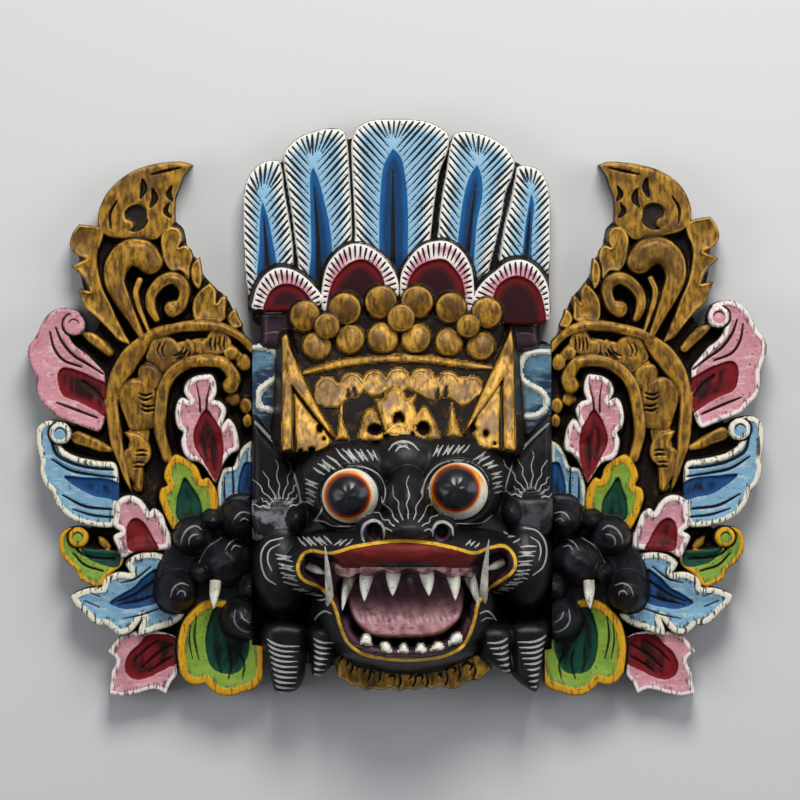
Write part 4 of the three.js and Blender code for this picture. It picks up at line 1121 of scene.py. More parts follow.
# flowers: the boss, x, y and radius, and the petals, x, y, radius and how bright each is painted: painted
# light on the lower petals, painted shade on the upper ones
FLOWERS = [
    {"boss": (-75, 374, 12.5),
     "petals": [(-97, 384, 15, 0), (-57, 391, 16, 0), (-85, 354, 14, 1), (-52, 361, 14, 1)]},
    {"boss": (-1, 382, 13.5),
     "petals": [(-21, 398, 16, 0), (15, 398, 16, 0), (-19, 362, 15, 1), (14, 362, 14.5, 1)]},
    {"boss": (66, 374, 11.5),
     "petals": [(49, 392, 15, 0), (85, 387, 15, 0.3), (47, 358, 13.5, 0.5), (79, 354, 13.5, 1)]},
]
TIARA = [
    (-106, 380), (-104, 330), (-118, 300), (-118, 250), (-60, 258), (0, 266), (60, 258), (112, 250),
    (110, 300), (96, 330), (98, 380), (0, 384),
]
TIARA_SLOPE = ((246, 1.0), (344.4, 0.1), (404, 0.0))
TIARA_ARC = [
    (-98, 327, 1.5), (-80, 332, 3), (-63, 336, 3.4), (-36, 340, 3.4), (0, 342, 3.4), (32, 340, 3.4),
    (66, 335, 3), (92, 332, 1.5),
]
TIARA_LOBES = [
    (-75, 311, 12), (-50, 315, 12), (-27, 317, 12.5), (-4, 320, 12), (20, 319, 12.5), (46, 316, 12),
    (70, 313, 10.5),
]
TIARA_BAND = [
    (-86, 312), (-86, 297), (-66, 293), (-56, 300), (-36, 311), (-27, 306), (-14, 311), (-4, 313), (8, 311),
    (18, 306), (30, 300), (38, 302), (47, 303), (60, 295), (76, 306), (76, 318), (0, 324), (-60, 318),
]
TIARA_DROPS = [
    [(-48, 311, 1.6), (-46, 303, 2.2), (-48, 297, 0.8)], [
        (-54, 311, 0.6), (-53, 303, 2.4), (-50, 297, 0.6)], [
        (36, 311, 1.2), (35, 302, 2.2), (38, 295, 0.6)], [(44, 313, 0.8), (43, 305, 2.6), (42, 297, 0.6)],
]
LOTUS = [
    (-27, 301), (-27, 301), (-25, 296), (-22, 285), (-19, 276), (-14, 266), (6, 265), (12, 277), (14, 288),
    (11, 296), (13, 304), (4, 302), (2, 307), (-3, 312), (-9, 313), (-16, 310), (-19, 302),
]
LOTUS_SIDES = [
    [(-42, 262), (-41, 274), (-38, 285), (-33, 291), (-27, 289), (-23, 281), (-19, 268), (-20, 262)],
    [(13, 264), (13, 281), (20, 293), (24, 293), (29, 284), (35, 271), (38, 263)],
]
KEYHOLES = [(-3.5, 281, 6.5, 8), (-27, 271, 9, 6.5), (21, 272, 7.5, 8)]
LOTUS_SCROLL = [(-17, 267, 1), (-10, 273, 1.8), (-3, 276, 2.2), (5, 273, 1.8), (11, 270, 1)]
SPIKES = [
    [(-65, 262), (-65, 262), (-62, 280), (-61, 297), (-61, 297), (-60, 280), (-55, 268), (-54, 262),
     (-54, 262)], [(44, 264), (44, 264), (47, 278), (49, 297), (49, 297), (54, 278), (59, 264), (59, 264)],
]
BLADE_POSTS = [
    [(-119, 250), (-119, 250), (-120, 362), (-120, 362), (-116, 366), (-111, 348), (-110, 310), (-110, 252),
     (-110, 252)],
    [(112, 250), (112, 250), (111, 350), (109, 371), (109, 371), (103, 352), (101, 310), (101, 252),
     (101, 252)],
]
BLADE_SLATS = [
    [(-117, 365), (-117, 365), (-108, 343), (-92, 308), (-68, 264), (-68, 264), (-76, 272), (-96, 298),
     (-111, 318), (-117, 340)],
    [(109, 370), (109, 370), (111, 350), (103, 326), (84, 298), (62, 268), (62, 268), (82, 312), (100, 350)],
]
BLADE_FIELDS = [
    [(-107, 306), (-107, 306), (-92, 286), (-76, 268), (-72, 258), (-84, 250), (-104, 250), (-104, 250),
     (-106, 270)], [(98, 317), (98, 317), (84, 296), (74, 282), (72, 266), (80, 254), (96, 252), (96, 252)],
]
BLADE_HOLES = [
    (-90, 251, 4.5, 3.5), (-101, 250, 3, 3), (-82, 272, 4, 5), (-78, 262, 2.5, 2.5), (83, 267, 3.5, 4),
    (71, 272, 3.5, 4.5), (92, 257, 2.5, 2),
]
PANELS = [
    [(-153, 262), (-153, 262), (-153, 357), (-153, 357), (-119, 357), (-119, 357), (-118, 262), (-118, 262)],
    [(153, 264), (153, 264), (153, 355), (153, 355), (114, 355), (114, 355), (112, 264), (112, 264)],
]
S_CURVES = [
    [(-152, 351, 2.2), (-141, 353, 2.8), (-128, 349, 3), (-123, 338, 3), (-126, 323, 3), (-136, 315, 3),
     (-143, 308, 3), (-142, 293, 2.8), (-133, 290, 2.6), (-126, 286, 2.4), (-122, 268, 2)],
    [(148, 348, 2.2), (135, 348, 2.8), (124, 344, 3), (119, 333, 3), (120, 322, 3), (129, 314, 3),
     (139, 309, 3), (145, 301, 2.8), (144, 291, 2.6), (135, 284, 3), (124, 283, 3), (113, 282, 2.4)],
]
SHOULDERS = [
    [(-140, 354), (-141, 368), (-139, 389), (-112, 392), (-106, 374), (-107, 354)],
    [(137, 353), (138, 366), (137, 387), (106, 388), (103, 372), (104, 353)],
]
SHOULDER_LINES = [
    [(-140, 383, 0.5), (-126, 385, 1.1), (-112, 381, 0.5)],
    [(-138, 366, 0.4), (-126, 368, 0.9), (-116, 364, 0.4)],
    [(106, 382, 0.5), (120, 386, 1.2), (136, 382, 0.5)], [
        (112, 364, 0.4), (122, 367, 0.9), (134, 365, 0.4)],
]
EARS = [
    [(-149, 280), (-149, 280), (-140, 268), (-126, 253), (-113, 236), (-106, 219), (-101, 196), (-125, 191),
     (-149, 195), (-149, 195)],
    [(149, 280), (149, 280), (137, 268), (126, 255), (114, 239), (105, 220), (103, 208), (124, 197),
     (149, 199), (149, 199)],
]
SIDE_BLOCKS = [
    [(-149, 172), (-149, 196), (-125, 199), (-101, 195), (-98, 178), (-108, 162), (-140, 160)],
    [(149, 176), (149, 203), (126, 205), (105, 204), (100, 184), (112, 168), (140, 166)],
]
EYES = [
    {"ball": (-52, 206, 30.2, 29.2), "pupil": (-54.5, 206.5, 18.8), "white": (1, -0.1)},
    {"ball": (55, 210.5, 31.8, 30.4), "pupil": (52.5, 213.5, 19.6), "white": (0.5, -0.9)},
]
MOUTH = [
    (-66, 112), (-62, 124), (-48, 131), (-28, 133), (0, 136), (28, 134), (52, 130), (68, 123), (72, 108),
    (69, 88), (66, 72), (58, 60), (42, 52), (20, 48), (0, 47), (-26, 49), (-42, 54), (-54, 64), (-60, 80),
    (-64, 98),
]
MOUTH_CORNERS = [
    [(-99, 128), (-98, 140), (-92, 149), (-78, 147), (-68, 147), (-60, 138), (-60, 118), (-62, 100),
     (-72, 107), (-84, 118)],
    [(106, 131), (106, 144), (99, 153), (86, 152), (72, 146), (66, 136), (66, 112), (70, 96), (80, 110),
     (94, 121)],
]
LIP_LINE = [
    (-104, 134), (-99, 147), (-91, 151.5), (-78, 150), (-69, 150), (-50, 156), (-28, 160), (0, 162.5),
    (32, 159.5), (55, 154), (70, 150), (87, 155), (100, 156), (109, 149), (112, 137), (108, 129), (94, 119),
    (81, 108), (75, 99), (72, 86), (68, 72), (60, 57), (43, 48), (23, 44.5), (0, 43.5), (-26, 46), (
        -43, 51), (-55, 61), (-62, 78), (-66, 92), (-71, 103), (-83, 115), (-99, 123),
]
UPPER_LIP = [
    (-69, 148), (-60, 152), (-40, 157), (-20, 159.5), (0, 161), (32, 158), (55, 152.5), (71, 147), (
        73, 138), (64, 130), (52, 133), (34, 138.5), (8, 141.5), (-14, 140.5), (-34, 137), (-52, 132.5),
    (-64, 134), (-70, 140),
]
GUM = [
    (-66, 138), (-52, 137), (0, 146), (52, 137), (68, 134), (69, 125), (58, 127), (50, 124), (41, 129),
    (32, 133), (22, 129), (12, 134), (2, 135), (-8, 130), (-18, 133), (-26, 131), (-36, 127), (-44, 130),
    (-52, 125), (-64, 128),
]
TONGUE = [
    (-53, 112), (-53, 98), (-48, 84), (-38, 72), (-30, 67), (8, 65), (36, 68), (45, 73), (56, 84), (60, 98),
    (59, 114), (44, 125), (0, 128), (-36, 125),
]
TOOTH_SIZE = 0.86
LOWER_TEETH = [
    [(-42, 60), (-42, 60), (-38, 69), (-31.5, 66), (-30.5, 57), (-30.5, 57)],
    [(-22, 59), (-22, 59), (-17, 61.5), (-12, 57), (-11.5, 49), (-11.5, 49), (-19, 51)],
    [(-4, 51.5), (-4, 51.5), (-1, 58), (1.5, 59.5), (5.5, 52), (4, 49.5)],
    [(12.5, 52), (12.5, 52), (16, 58.5), (19, 59.5), (23.5, 52), (21, 49)],
    [(28.5, 53), (28.5, 53), (34, 61), (38.5, 60), (40.5, 55), (39, 52.5)],
    [(45, 58), (45, 58), (50, 68), (56.5, 70), (59, 64), (59, 64), (55, 60)],
]
BRAIDS = [
    {"top": 56, "high": 62, "low": 9, "outer": (-136.5, -126), "inner": (-98.5, -105), "outline": [
         (-136.5, 74), (-97, 74), (-97, 50), (-98.5, 21), (-106, 10), (-125, 7.5), (-130, 18),
        (-133.5, 37)]},
    {"top": 66, "high": 63, "low": 27, "outer": (-89, -88), "inner": (-66.5, -77),
     "outline": [(-90, 72), (-65, 72), (-66.5, 46), (-74, 31), (-84, 24.5), (-90, 27), (-88, 46)]},
    {"top": 56, "high": 65, "low": 14, "outer": (145, 135), "inner": (112, 127), "outline": [
         (145, 74), (109.5, 74), (109.5, 48), (110, 25.5), (132, 8.5), (134.5, 8.5), (138, 27), (141, 50)]},
    {"top": 66, "high": 63, "low": 31, "outer": (105.5, 108), "inner": (82, 97),
     "outline": [(106, 72), (78, 72), (78, 44), (92, 35), (107.5, 27), (107, 46)]},
]
CHIN_UNDERSIDE = [(-52, 52), (-50, 38), (-24, 29.5), (11, 27), (41, 31), (60, 42), (64, 56), (0, 60)]
CHIN_LEAVES = [
    (-66, 46), (-66, 36), (-64, 24), (-57, 20), (-50, 14.5), (-44, 16), (-38, 10), (-28, 12), (-20, 10.5),
    (-12, 13), (-4, 9.5), (6, 12), (14, 11), (22, 14), (30, 11.5), (38, 15), (46, 12), (54, 12), (62, 18),
    (69, 20), (78, 21.5), (84, 27), (90, 34), (84, 44), (60, 50),
]
# rows of brush strokes: the first stroke, the last one, how many and their half width
STROKE_ROWS = [
    (((-66, 252.5), (-52.5, 238.5)), ((-29, 251), (-24.4, 240.5)), 7, 1.1),
    (((-88.5, 233.5), (-77.5, 227)), ((-75, 245), (-60.5, 234.5)), 4, 1.2),
    (((-96.5, 222), (-83.5, 217.5)), ((-96, 198.5), (-88, 195.5)), 6, 1.1),
    (((30, 244.5), (35.5, 256)), ((59.5, 248), (67, 256)), 7, 1.0),
    (((70.5, 241.5), (82.5, 249)), ((84.5, 232.5), (95, 236)), 4, 1.2),
    (((88, 227), (98.5, 229.5)), ((91, 208.5), (100, 210)), 5, 1.0),
    (((-104.5, 164), (-95, 155.5)), ((-78, 166), (-69.5, 158)), 6, 0.9),
    (((-68, 157.5), (-61, 163)), ((-57, 157), (-49.5, 164)), 3, 1.0),
    (((-126, 147), (-119, 145.5), (-110, 145)), ((-118, 119.5), (-111, 117.5), (-102.5, 116.5)), 7, 1.0),
    (((-109.5, 112), (-98, 113)), ((-85, 101), (-74, 104)), 5, 1.05),
    (((101, 169), (106, 166.5)), ((110, 158.5), (117.5, 162.5)), 3, 1.1),
    (((62, 158), (67, 163)), ((71, 155.5), (76, 160)), 3, 1.0),
    (((134, 154.5), (126, 155.5), (117, 154)), ((126, 127), (120, 127.5), (111, 127)), 7, 0.95),
    (((125, 122.5), (110.5, 122.5)), ((102, 106), (90, 109.5)), 6, 1.0),
]
FACE_LINES = [
    [(-13.5, 251, 0.6), (-9, 256.5, 1.0), (0, 259.5, 1.1), (9, 257.5, 1.0), (16, 251, 0.6)],
    [(-6.7, 250, 0.6), (-3, 254, 1.2), (3, 254.5, 1.0), (7, 251.5, 0.4)],
    [(-87, 180, 0.8), (-79.4, 194, 0.8), (-80, 207.6, 0.8), (-76, 221, 0.8), (-66.6, 230.5, 0.9),
     (-52.8, 235, 0.8), (-38, 234, 0.7), (-25.3, 228, 0.6), (-19, 219, 0.5), (-17, 208, 0.5),
     (-19, 199, 0.4)],
    [(-87, 180, 0.9), (-76.4, 179.5, 1.0), (-72, 176.5, 0.9), (-60, 175.5, 0.5), (-50, 176, 0.3)],
    [(19.5, 205, 0.5), (20.5, 215, 0.6), (26, 227, 0.8), (36, 236.5, 0.8), (50, 241, 0.8), (64, 240, 0.7),
     (76, 234, 0.6), (84, 224, 0.5), (86, 212, 0.4)],
    [(89, 185, 0.8), (84, 181, 1.0), (80, 178.5, 0.9), (66, 178, 0.7), (52, 178.5, 0.3)],
    [(-39, 163, 1.4), (-40.5, 171, 1.5), (-37, 179, 1.5), (-28.5, 182.5, 1.5), (-20.5, 178, 1.4),
     (-18.5, 170, 1.1), (-19, 165, 0.6)],
    [(29.5, 167, 0.6), (29.5, 174, 1.1), (33.5, 180, 1.4), (41, 181, 1.4), (48, 176, 1.3), (49.5, 168, 0.9)],
    [(-146, 277, 1.4), (-133, 263, 1.5), (-118, 247, 1.4), (-110.5, 232, 1.3), (-104.5, 215, 1.2),
     (-101, 198, 0.9)],
    [(146, 276, 1.0), (131, 262, 1.1), (118, 247, 1.0), (109, 232, 0.9), (103.5, 216, 0.8), (103, 210, 0.5)],
    [(-119, 163, 0.7), (-133, 159, 0.9), (-140, 149, 1.0), (-140, 135, 1.0), (-135, 123, 0.9),
     (-126, 117, 0.5)], [(-122, 157, 0.5), (-132, 151, 0.8), (-134, 141, 0.8), (-130, 131, 0.5)],
    [(121, 173, 0.5), (134, 170, 0.9), (142, 160, 1.0), (144, 148, 1.0), (140, 134, 0.9), (130, 126, 0.5)],
    [(128, 164, 0.5), (136, 158, 0.8), (138, 149, 0.8), (136, 141, 0.5)],
    [(-87, 81, 0.9), (-83, 87, 1.0), (-77, 91, 1.0), (-71, 89, 0.6)],
    [(94, 80, 0.8), (90, 86, 0.9), (84, 91, 1.0), (77, 89, 0.6)],
    [(78, 81, 0.5), (84, 84, 0.8), (90, 82, 0.4)],
]
LEDGE = [
    (-62, 84), (-56, 84), (-50, 70), (-38, 60), (-18, 55), (0, 54), (20, 55), (38, 60), (56, 68), (64, 84),
    (70, 84), (66, 66), (58, 56), (40, 48), (0, 45), (-40, 50), (-56, 60),
]
# rounded forms: x, y, half widths, shoulder and top in mm, how softly it melts in, its turn
FACE_LUMPS = [
    (FACE_X, 168, 116, 98, 40, 76),  # the head
    (-54, 226, 50, 34, 60, BROW_TOP, 3.5, 0.25),  # the brows
    (58, 230, 50, 34, 60, BROW_TOP, 3.5, -0.25),
    (FACE_X, 238, 40, 30, 60, BROW_TOP - 2),
    (-106, 182, 12, 15, 50, 72, 2),  # the temples
    (109, 188, 12, 15, 50, 72, 2),
    (5, 196, 25, 40, 72, NOSE_FRONT - 14, 12),  # the snout and its wings
    (5, 174, 36, 15, 100, NOSE_FRONT),
    (-29, 172, 14, 14, 100, NOSE_FRONT - 8, 2),
    (39, 171, 14, 14, 100, NOSE_FRONT - 8, 2),
    (FACE_X, 152, 116, 28, 50, LIP_FRONT),  # the upper lip
    (FACE_X, 96, 88, 66, 60, JAW_FRONT),  # the jaw
    (FACE_X + 2, 54, 70, 21, 60, LOWER_LIP_FRONT),  # the lower lip
]
CHEEK_LUMPS = [
    (-92, 134, 26, 24, 70, 86),  # the mouth's corners
    (98, 136, 26, 24, 70, 86),
    (-120, 132, 29, 44, 50, 72),  # the cheeks
    (122, 136, 27, 44, 50, 72),
]


class Centre(Carving):
    MARKS = {**Carving.MARKS, "lip": -FAR_OUT}

    def lump(self, x, y, half_x, half_y, shoulder, top, blend=3.5, turn=0.0):
        """A rounded form of the face, melted into what stands there in the same paint."""
        area = Round(x, y, half_x, half_y, turn)
        least = min(half_x, half_y)

        def dome(u, v, d):
            reach = np.clip(1 - d / least, 0, 1)
            return (top - shoulder) * (np.sqrt(1 - reach * reach) - 1)
        self.stand(area, top, "face", dome, blend=blend, edge=NO_EDGE)

    def sink(self, area, floor, paint, wall=7.0):
        """Hollows out an area down to a floor, with steep sides."""
        here = self.window(area.low, area.high)
        d = area(self.x[here], self.y[here])
        sunk = np.maximum(floor, self.height[here] - wall * np.maximum(d, 0))
        inside = d > 0
        self.height[here] = np.where(inside, sunk, self.height[here])
        self.paint[here] = np.where(inside, PAINTS.index(paint), self.paint[here])
        self.marks["edge"][here] = np.where(inside, d, self.marks["edge"][here])
        for mark in ("line", "near"):
            self.marks[mark][here] = np.where(inside, NO_LINE, self.marks[mark][here])

    def repaint(self, area, paint, over, **marks):
        """Paints an area anew where it is one of some paints, without carving."""
        here = self.window(area.low, area.high)
        x, y = self.x[here], self.y[here]
        d = area(x, y)
        inside = (d > 0) & np.isin(self.paint[here], [PAINTS.index(name) for name in over])
        self.paint[here] = np.where(inside, PAINTS.index(paint), self.paint[here])
        for name, value in {"edge": d, **marks}.items():
            self.marks[name][here] = np.where(inside, value, self.marks[name][here])

    def strokes(self, first, last, count, half):
        """A row of short brush strokes between a first and a last one, kept thin enough to stand apart."""
        (start_x, start_y), (stop_x, stop_y) = ((np.array(s[0]) + s[-1]) / 2 for s in (first, last))
        along = np.array(first[-1]) - first[0] + np.array(last[-1]) - last[0]
        apart = abs((stop_x - start_x) * along[1] - (stop_y - start_y) * along[0]) / np.hypot(*along)
        half = min(half, apart / (count - 1) / STROKE_ROOM)
        for k in range(count):
            t = k / (count - 1)
            ends = [(1 - t) * np.array(a, float) + t * np.array(b, float) for a, b in zip(first, last)]
            middle = (ends[0] + ends[-1]) / 2
            side = (np.array([ends[-1][1] - ends[0][1], ends[0][0] - ends[-1][0]])
                    * 0.06 * math.sin(3.1 * k + 1))
            self.cut([(*ends[0], 0.4 * half), (*(middle + side), half), (*ends[-1], 0.35 * half)], 0.0,
                     ("face",))


def slope(over):
    """The height of the tiara's leaning front, raised by so many mm."""
    places = [row[0] for row in TIARA_SLOPE]
    shares = [row[1] for row in TIARA_SLOPE]

    def top(x, y):
        return TIARA_FOOT + (TIARA_FRONT - TIARA_FOOT) * np.interp(y, places, shares) + over
    return top


def along_outline(line, spacing):
    """Evenly spaced places along a closed outline."""
    steps = np.hypot(*(np.roll(line, -1, axis=0) - line).T)
    along = np.concatenate([[0], np.cumsum(steps)])
    count = int(along[-1] / spacing)
    for k in range(count):
        at = (k + 0.5) * along[-1] / count
        i = min(int(np.searchsorted(along, at)) - 1, len(line) - 1)
        yield line[i] + (line[(i + 1) % len(line)] - line[i]) * (at - along[i]) / max(steps[i], 1e-6)


BARB_GAP = 4.8


def carve_feather(block, feather, top):
    """A feather: a spear-shaped rib and, from the edge towards it, black barbs cut with a gouge."""
    edge = rounded(2.5)

    def vane(x, y, d):
        return edge(x, y, d) - 1.6 + 0.055 * np.minimum(d, 30)
    heart = Filled(feather["heart"])
    outline = Filled(feather["outline"])
    block.stand(outline, top, "feather", vane, heart, 1.4)
    rib = spline(feather["rib"], False, 2.0)
    last, gained = None, BARB_GAP
    for k, (px, py) in enumerate(along_outline(outline.line, 0.8)):
        if py < rib[0][1] + 18:
            continue
        lower = py - 1.05 * abs(px - np.interp(py, rib[:, 1], rib[:, 0])) - 2
        at_tip = lower > rib[-1][1] + 2
        lower = np.clip(lower, rib[0][1], rib[-1][1] + 2)
        qx = np.interp(lower, rib[:, 1], rib[:, 0])
        vx, vy = qx - px, lower - py
        reach = math.hypot(vx, vy)
        if last:
            gained += abs((px - last[0]) * vy - (py - last[1]) * vx) / reach
        last = (px, py)
        if gained < BARB_GAP * (1.3 if at_tip else 1.0):
            continue
        gained = 0.0
        stop = 0.66 + 0.06 * math.sin(5 * k) if at_tip else 0.88
        for share in np.linspace(0.3, stop, 12):
            if heart(np.array([[px + share * vx]]), np.array([[py + share * vy]]))[0, 0] > -1.4:
                stop = share
                break
        start = 2.4 / reach
        full = 1.35 + 0.3 * math.sin(3 * k)
        middle = 0.65 * start + 0.35 * stop
        block.cut([(px + start * vx, py + start * vy, 1.0), (px + middle * vx, py + middle * vy, full),
                   (px + stop * vx, py + stop * vy, 0.55)], 1.1, ("feather",), True)
    block.cut([(rib[0][0], rib[0][1], 3.0), (*rib[len(rib) // 2], 2.2), (*rib[int(len(rib) * 0.85)], 0.5)],
              1.4, ("feather",))


def carve_scallop(block, scallop, top):
    """A small arch in front of the feathers: a pale rim with black cuts round a dark red middle."""
    heart = Filled(scallop["heart"])
    block.solid(scallop["outline"], top, "scallop", 2, heart, 3.0)
    wide = heart.high[0] - heart.low[0]
    middle = np.array([(heart.high[0] + heart.low[0]) / 2, heart.high[1] - 0.6 * wide])
    for p in along_outline(Filled(scallop["outline"]).line, 6.2):
        if p[1] < middle[1] - 10:
            continue
        v = (middle - p) / np.hypot(*(middle - p))
        reach = 4.0
        while reach < 16 and heart(
                np.array([[p[0] + reach * v[0]]]), np.array([[p[1] + reach * v[1]]]))[0, 0] < -1.0:
            reach += 1.0
        block.cut([(*(p + 2.4 * v), 1.1), (*(p + 0.5 * reach * v), 1.25), (*(p + reach * v), 0.6)], 0.9,
                  ("scallop",), True)


def carve_tiara(block):
    block.solid(TIARA, slope(0), "ground", 1.5)
    for flower in FLOWERS:
        boss_x, boss_y, boss_r = flower["boss"]
        for x, y, r, bright in flower["petals"]:
            away = math.atan2(y - boss_y, x - boss_x)

            def petal(u, v, d, x=x, y=y, r=r, away=away):
                out = (u - x) * math.cos(away) + (v - y) * math.sin(away)
                dome = -0.30 * r * (1 - np.sqrt(1 - 0.9 * np.clip(1 - d / r, 0, 1) ** 2))
                return rounded(2)(u, v, d) + dome + 0.13 * out
            # each petal's gold is painted lighter or darker by how it faces the light: painted light and
            # shade
            block.stand(Round(x, y, r), FLOWER_TOP - 5, "gold", petal, tone=0.75 * bright)
        block.stand(Round(boss_x, boss_y, boss_r), FLOWER_TOP, "gold", rounded(4.5), tone=0.1)
    block.bar(TIARA_ARC, slope(4), "gold", 2)
    block.solid(TIARA_BAND, slope(2.5), "gold", 1.5)
    for x, y, r in TIARA_LOBES:
        block.stand(Round(x, y, r), slope(2.5), "gold", rounded(1.2), tone=0.1)
    for x, y, r in TIARA_LOBES:
        arc = [(x + 0.8 * r * math.cos(a), y + 0.8 * r * math.sin(a), 0.55)
               for a in (2.9, 2.4, 1.9, 1.3, 0.8, 0.3)]
        block.cut(arc, 0.8, ("gold",))
    for drop in TIARA_DROPS:
        block.cut(drop, 2.2, ("gold",))
    block.solid(LOTUS, slope(5), "gold", 2.5, tone=0.8)
    for side in LOTUS_SIDES:
        block.solid(side, slope(4.6), "gold", 2.5, tone=0.7)
    for spike in SPIKES:
        block.solid(spike, slope(4.5), "gold", 2.5, tone=0.6)
    for x, y, half_x, half_y in KEYHOLES:
        block.sink(Round(x, y, half_x, half_y), KEYHOLE_FLOOR, "ground", 3.0)
    block.bar(LOTUS_SCROLL, slope(5.5), "gold", 1.5, tone=0.8)
    for field in BLADE_FIELDS:
        block.solid(field, slope(5), "gold", 1.5, tone=0.6)
    for x, y, half_x, half_y in BLADE_HOLES:
        block.sink(Round(x, y, half_x, half_y), BLADE_HOLE_FLOOR, "ground", 3.0)
    for post in BLADE_POSTS:
        block.solid(post, slope(7), "gold", 2, tone=0.15)
    for slat in BLADE_SLATS:
        block.solid(slat, slope(8), "gold", 2, tone=0.5)


def carve_eye(block, eye):
    """A bulging eye: a ball with a rim of lid, its rings painted round a chiselled black pupil."""
    x, y, half_x, half_y = eye["ball"]
    px, py, pupil = eye["pupil"]
    block.lump(x, y, half_x + 7, half_y + 7, EYE_FRONT - 24, EYE_FRONT - 14, blend=3)
    toward = eye["white"]

    def ring(u, v):
        return pupil - np.hypot(u - px, v - py)

    def white(u, v):
        return ((u - x) * toward[0] + (v - y) * toward[1]) / half_x

    def ball(u, v, d):
        reach = np.clip(1 - d / half_y, 0, 1)
        facets = 0.22 * np.cos(5 * np.arctan2(v - py, u - px) + 1) * np.clip(ring(u, v) / 9, 0, 1)
        return -24 * (1 - np.sqrt(1 - 0.94 * reach * reach)) + facets
    block.stand(Round(x, y, half_x, half_y), EYE_FRONT, "eye", ball, heart=ring, depth=0.0, tone=white)
    lid = [(x + (half_x + 2.2) * math.cos(a), y + (half_y + 2.2) * math.sin(a), 2.6)
           for a in np.linspace(0, 2 * math.pi, 25)]
    block.bar(lid, EYE_FRONT - 14, "face", 2.2, edge=0.0)


def carve_mouth(block):
    """The open mouth: red upper lip, gum, a hollow with the tongue, and teeth on the lower gum."""
    block.repaint(Filled(UPPER_LIP), "red", ("face",))
    for corner in MOUTH_CORNERS:
        block.sink(Filled(corner), CORNER_FLOOR, "throat", 3.2)
    block.sink(Filled(MOUTH), MOUTH_FLOOR, "throat")
    block.solid(GUM, slope_of_gum, "gum", 3)
    block.solid(LEDGE, TOOTH_LEDGE, "throat", 3)

    def tongue(u, v, d):
        dip = 1.4 * np.exp(-((u - 4) / 7) ** 2) + 0.35 * np.sin(0.55 * u + 0.2 * v)
        return rounded(3)(u, v, d) - 15 * ease(v, 74, 122) - dip
    # the tongue's paint darkens towards its back, under the gum: painted shade
    block.stand(Filled(TONGUE), TONGUE_TOP - 0.5, "tongue", tongue, wall="throat",
                tone=lambda u, v: ease(v, 70, 112))
    for points in LOWER_TEETH:
        middle = np.mean(points, axis=0)
        small = [tuple(middle + TOOTH_SIZE * (np.array(point) - middle)) for point in points]
        block.solid(small, TOOTH_LEDGE + 4.0, "tooth", 2.0, wall="throat")


def slope_of_gum(x, y):
    return LIP_FRONT - 12 - GUM_BEND * (x - FACE_X) ** 2 + GUM_RISE * (y - GUM_Y)


def carve_face(block):
    for points in PANELS:
        block.solid(points, PANEL_TOP, "panel", 1.5)
    for points in SHOULDERS:
        block.solid(points, PANEL_TOP + 6, "shoulder", 6)
    for points in SHOULDER_LINES:
        block.cut(points, 0.3, ("shoulder",))
    for stations in S_CURVES:
        thin = [(x, y, 0.8 * half) for x, y, half in stations]
        block.bar(thin, PANEL_TOP + 2.0, "cream", 1.5, wall="panel")
    carve_tiara(block)
    for points in EARS:
        block.solid(points, EAR_TOP, "face", 5, edge=NO_EDGE)
    # the side blocks get grey patches, strongest on the left one: worn paint and a painted highlight
    for points, wear_and_highlight in zip(SIDE_BLOCKS, (1.0, 0.25)):
        block.solid(points, SIDE_BLOCK_TOP, "face", 7, edge=NO_EDGE, tone=wear_and_highlight)
    block.solid(CHIN_LEAVES, CHIN_TOP, "gold", 5, tone=0.3)
    for braid in BRAIDS:
        block.solid(braid["outline"], braid["top"], "face", 8, edge=NO_EDGE)
    for lump in FACE_LUMPS:
        block.lump(*lump)
    block.solid(CHIN_UNDERSIDE, CHIN_TOP + 4, "face", 5, edge=NO_EDGE)
    for lump in CHEEK_LUMPS:
        block.lump(*lump)
    for eye in EYES:
        carve_eye(block, eye)
    for x, y, half_x, half_y in ((-28.5, 172, 7.6, 8.5), (38.5, 171, 7.2, 8)):
        block.sink(Round(x, y, half_x, half_y), NOSE_FRONT - 22, "throat", 4.5)
    carve_mouth(block)


def draw_ray(block, place, angle, first, reach, waves, turn):
    """One wavy hair of a fan that springs from a place: pale, thinner towards its tip."""
    ray = []
    for j in range(7):
        r = first + reach * j / 6
        wave = waves * min(j, 2) / 2 * math.sin(2.1 * j + turn)
        ray.append((place[0] + r * math.cos(angle) - wave * math.sin(angle),
                    place[1] + r * math.sin(angle) + wave * math.cos(angle), 0.72 - 0.06 * j))
    block.cut(ray, 0.0, ("face",))


def draw_face(block):
    """The pale brush strokes on the black lacquer."""
    for row in STROKE_ROWS:
        block.strokes(*row)
    for stations in FACE_LINES:
        block.cut(stations, 0.0, ("face",))
    for k in range(9):
        angle = math.radians(16 + k * 18.5)
        draw_ray(block, (5, 168), angle, 17, 20 + 21 * math.sin(angle) ** 2 - (5 if k % 2 else 0), 1.6, k)
    for place, tilt in (((-122, 191), 94), ((129, 201), 88)):
        for k in range(9):
            angle = math.radians(tilt - 76 + k * 19)
            draw_ray(block, place, angle, 11, (38 if 2 < k < 7 else 18) - (7 if k % 2 else 0), 1.3, 1.7 * k)
    for braid in BRAIDS:
        count = round((braid["high"] - braid["low"]) / 6.1)
        for k in range(count + 1):
            share = k / count
            level = braid["high"] + (braid["low"] - braid["high"]) * share
            outer = braid["outer"][0] + (braid["outer"][1] - braid["outer"][0]) * share
            wide = braid["inner"][0] + (braid["inner"][1] - braid["inner"][0]) * share - outer
            sag = (0.19 - 0.10 * share) * abs(wide)
            block.cut([(outer + 0.03 * wide, level, 0.7), (outer + 0.2 * wide, level - 0.6 * sag, 1.25),
                       (outer + 0.45 * wide, level - sag, 1.15),
                       (outer + 0.9 * wide, level - 1.05 * sag, 0.5)], 0.35, ("face",), True)


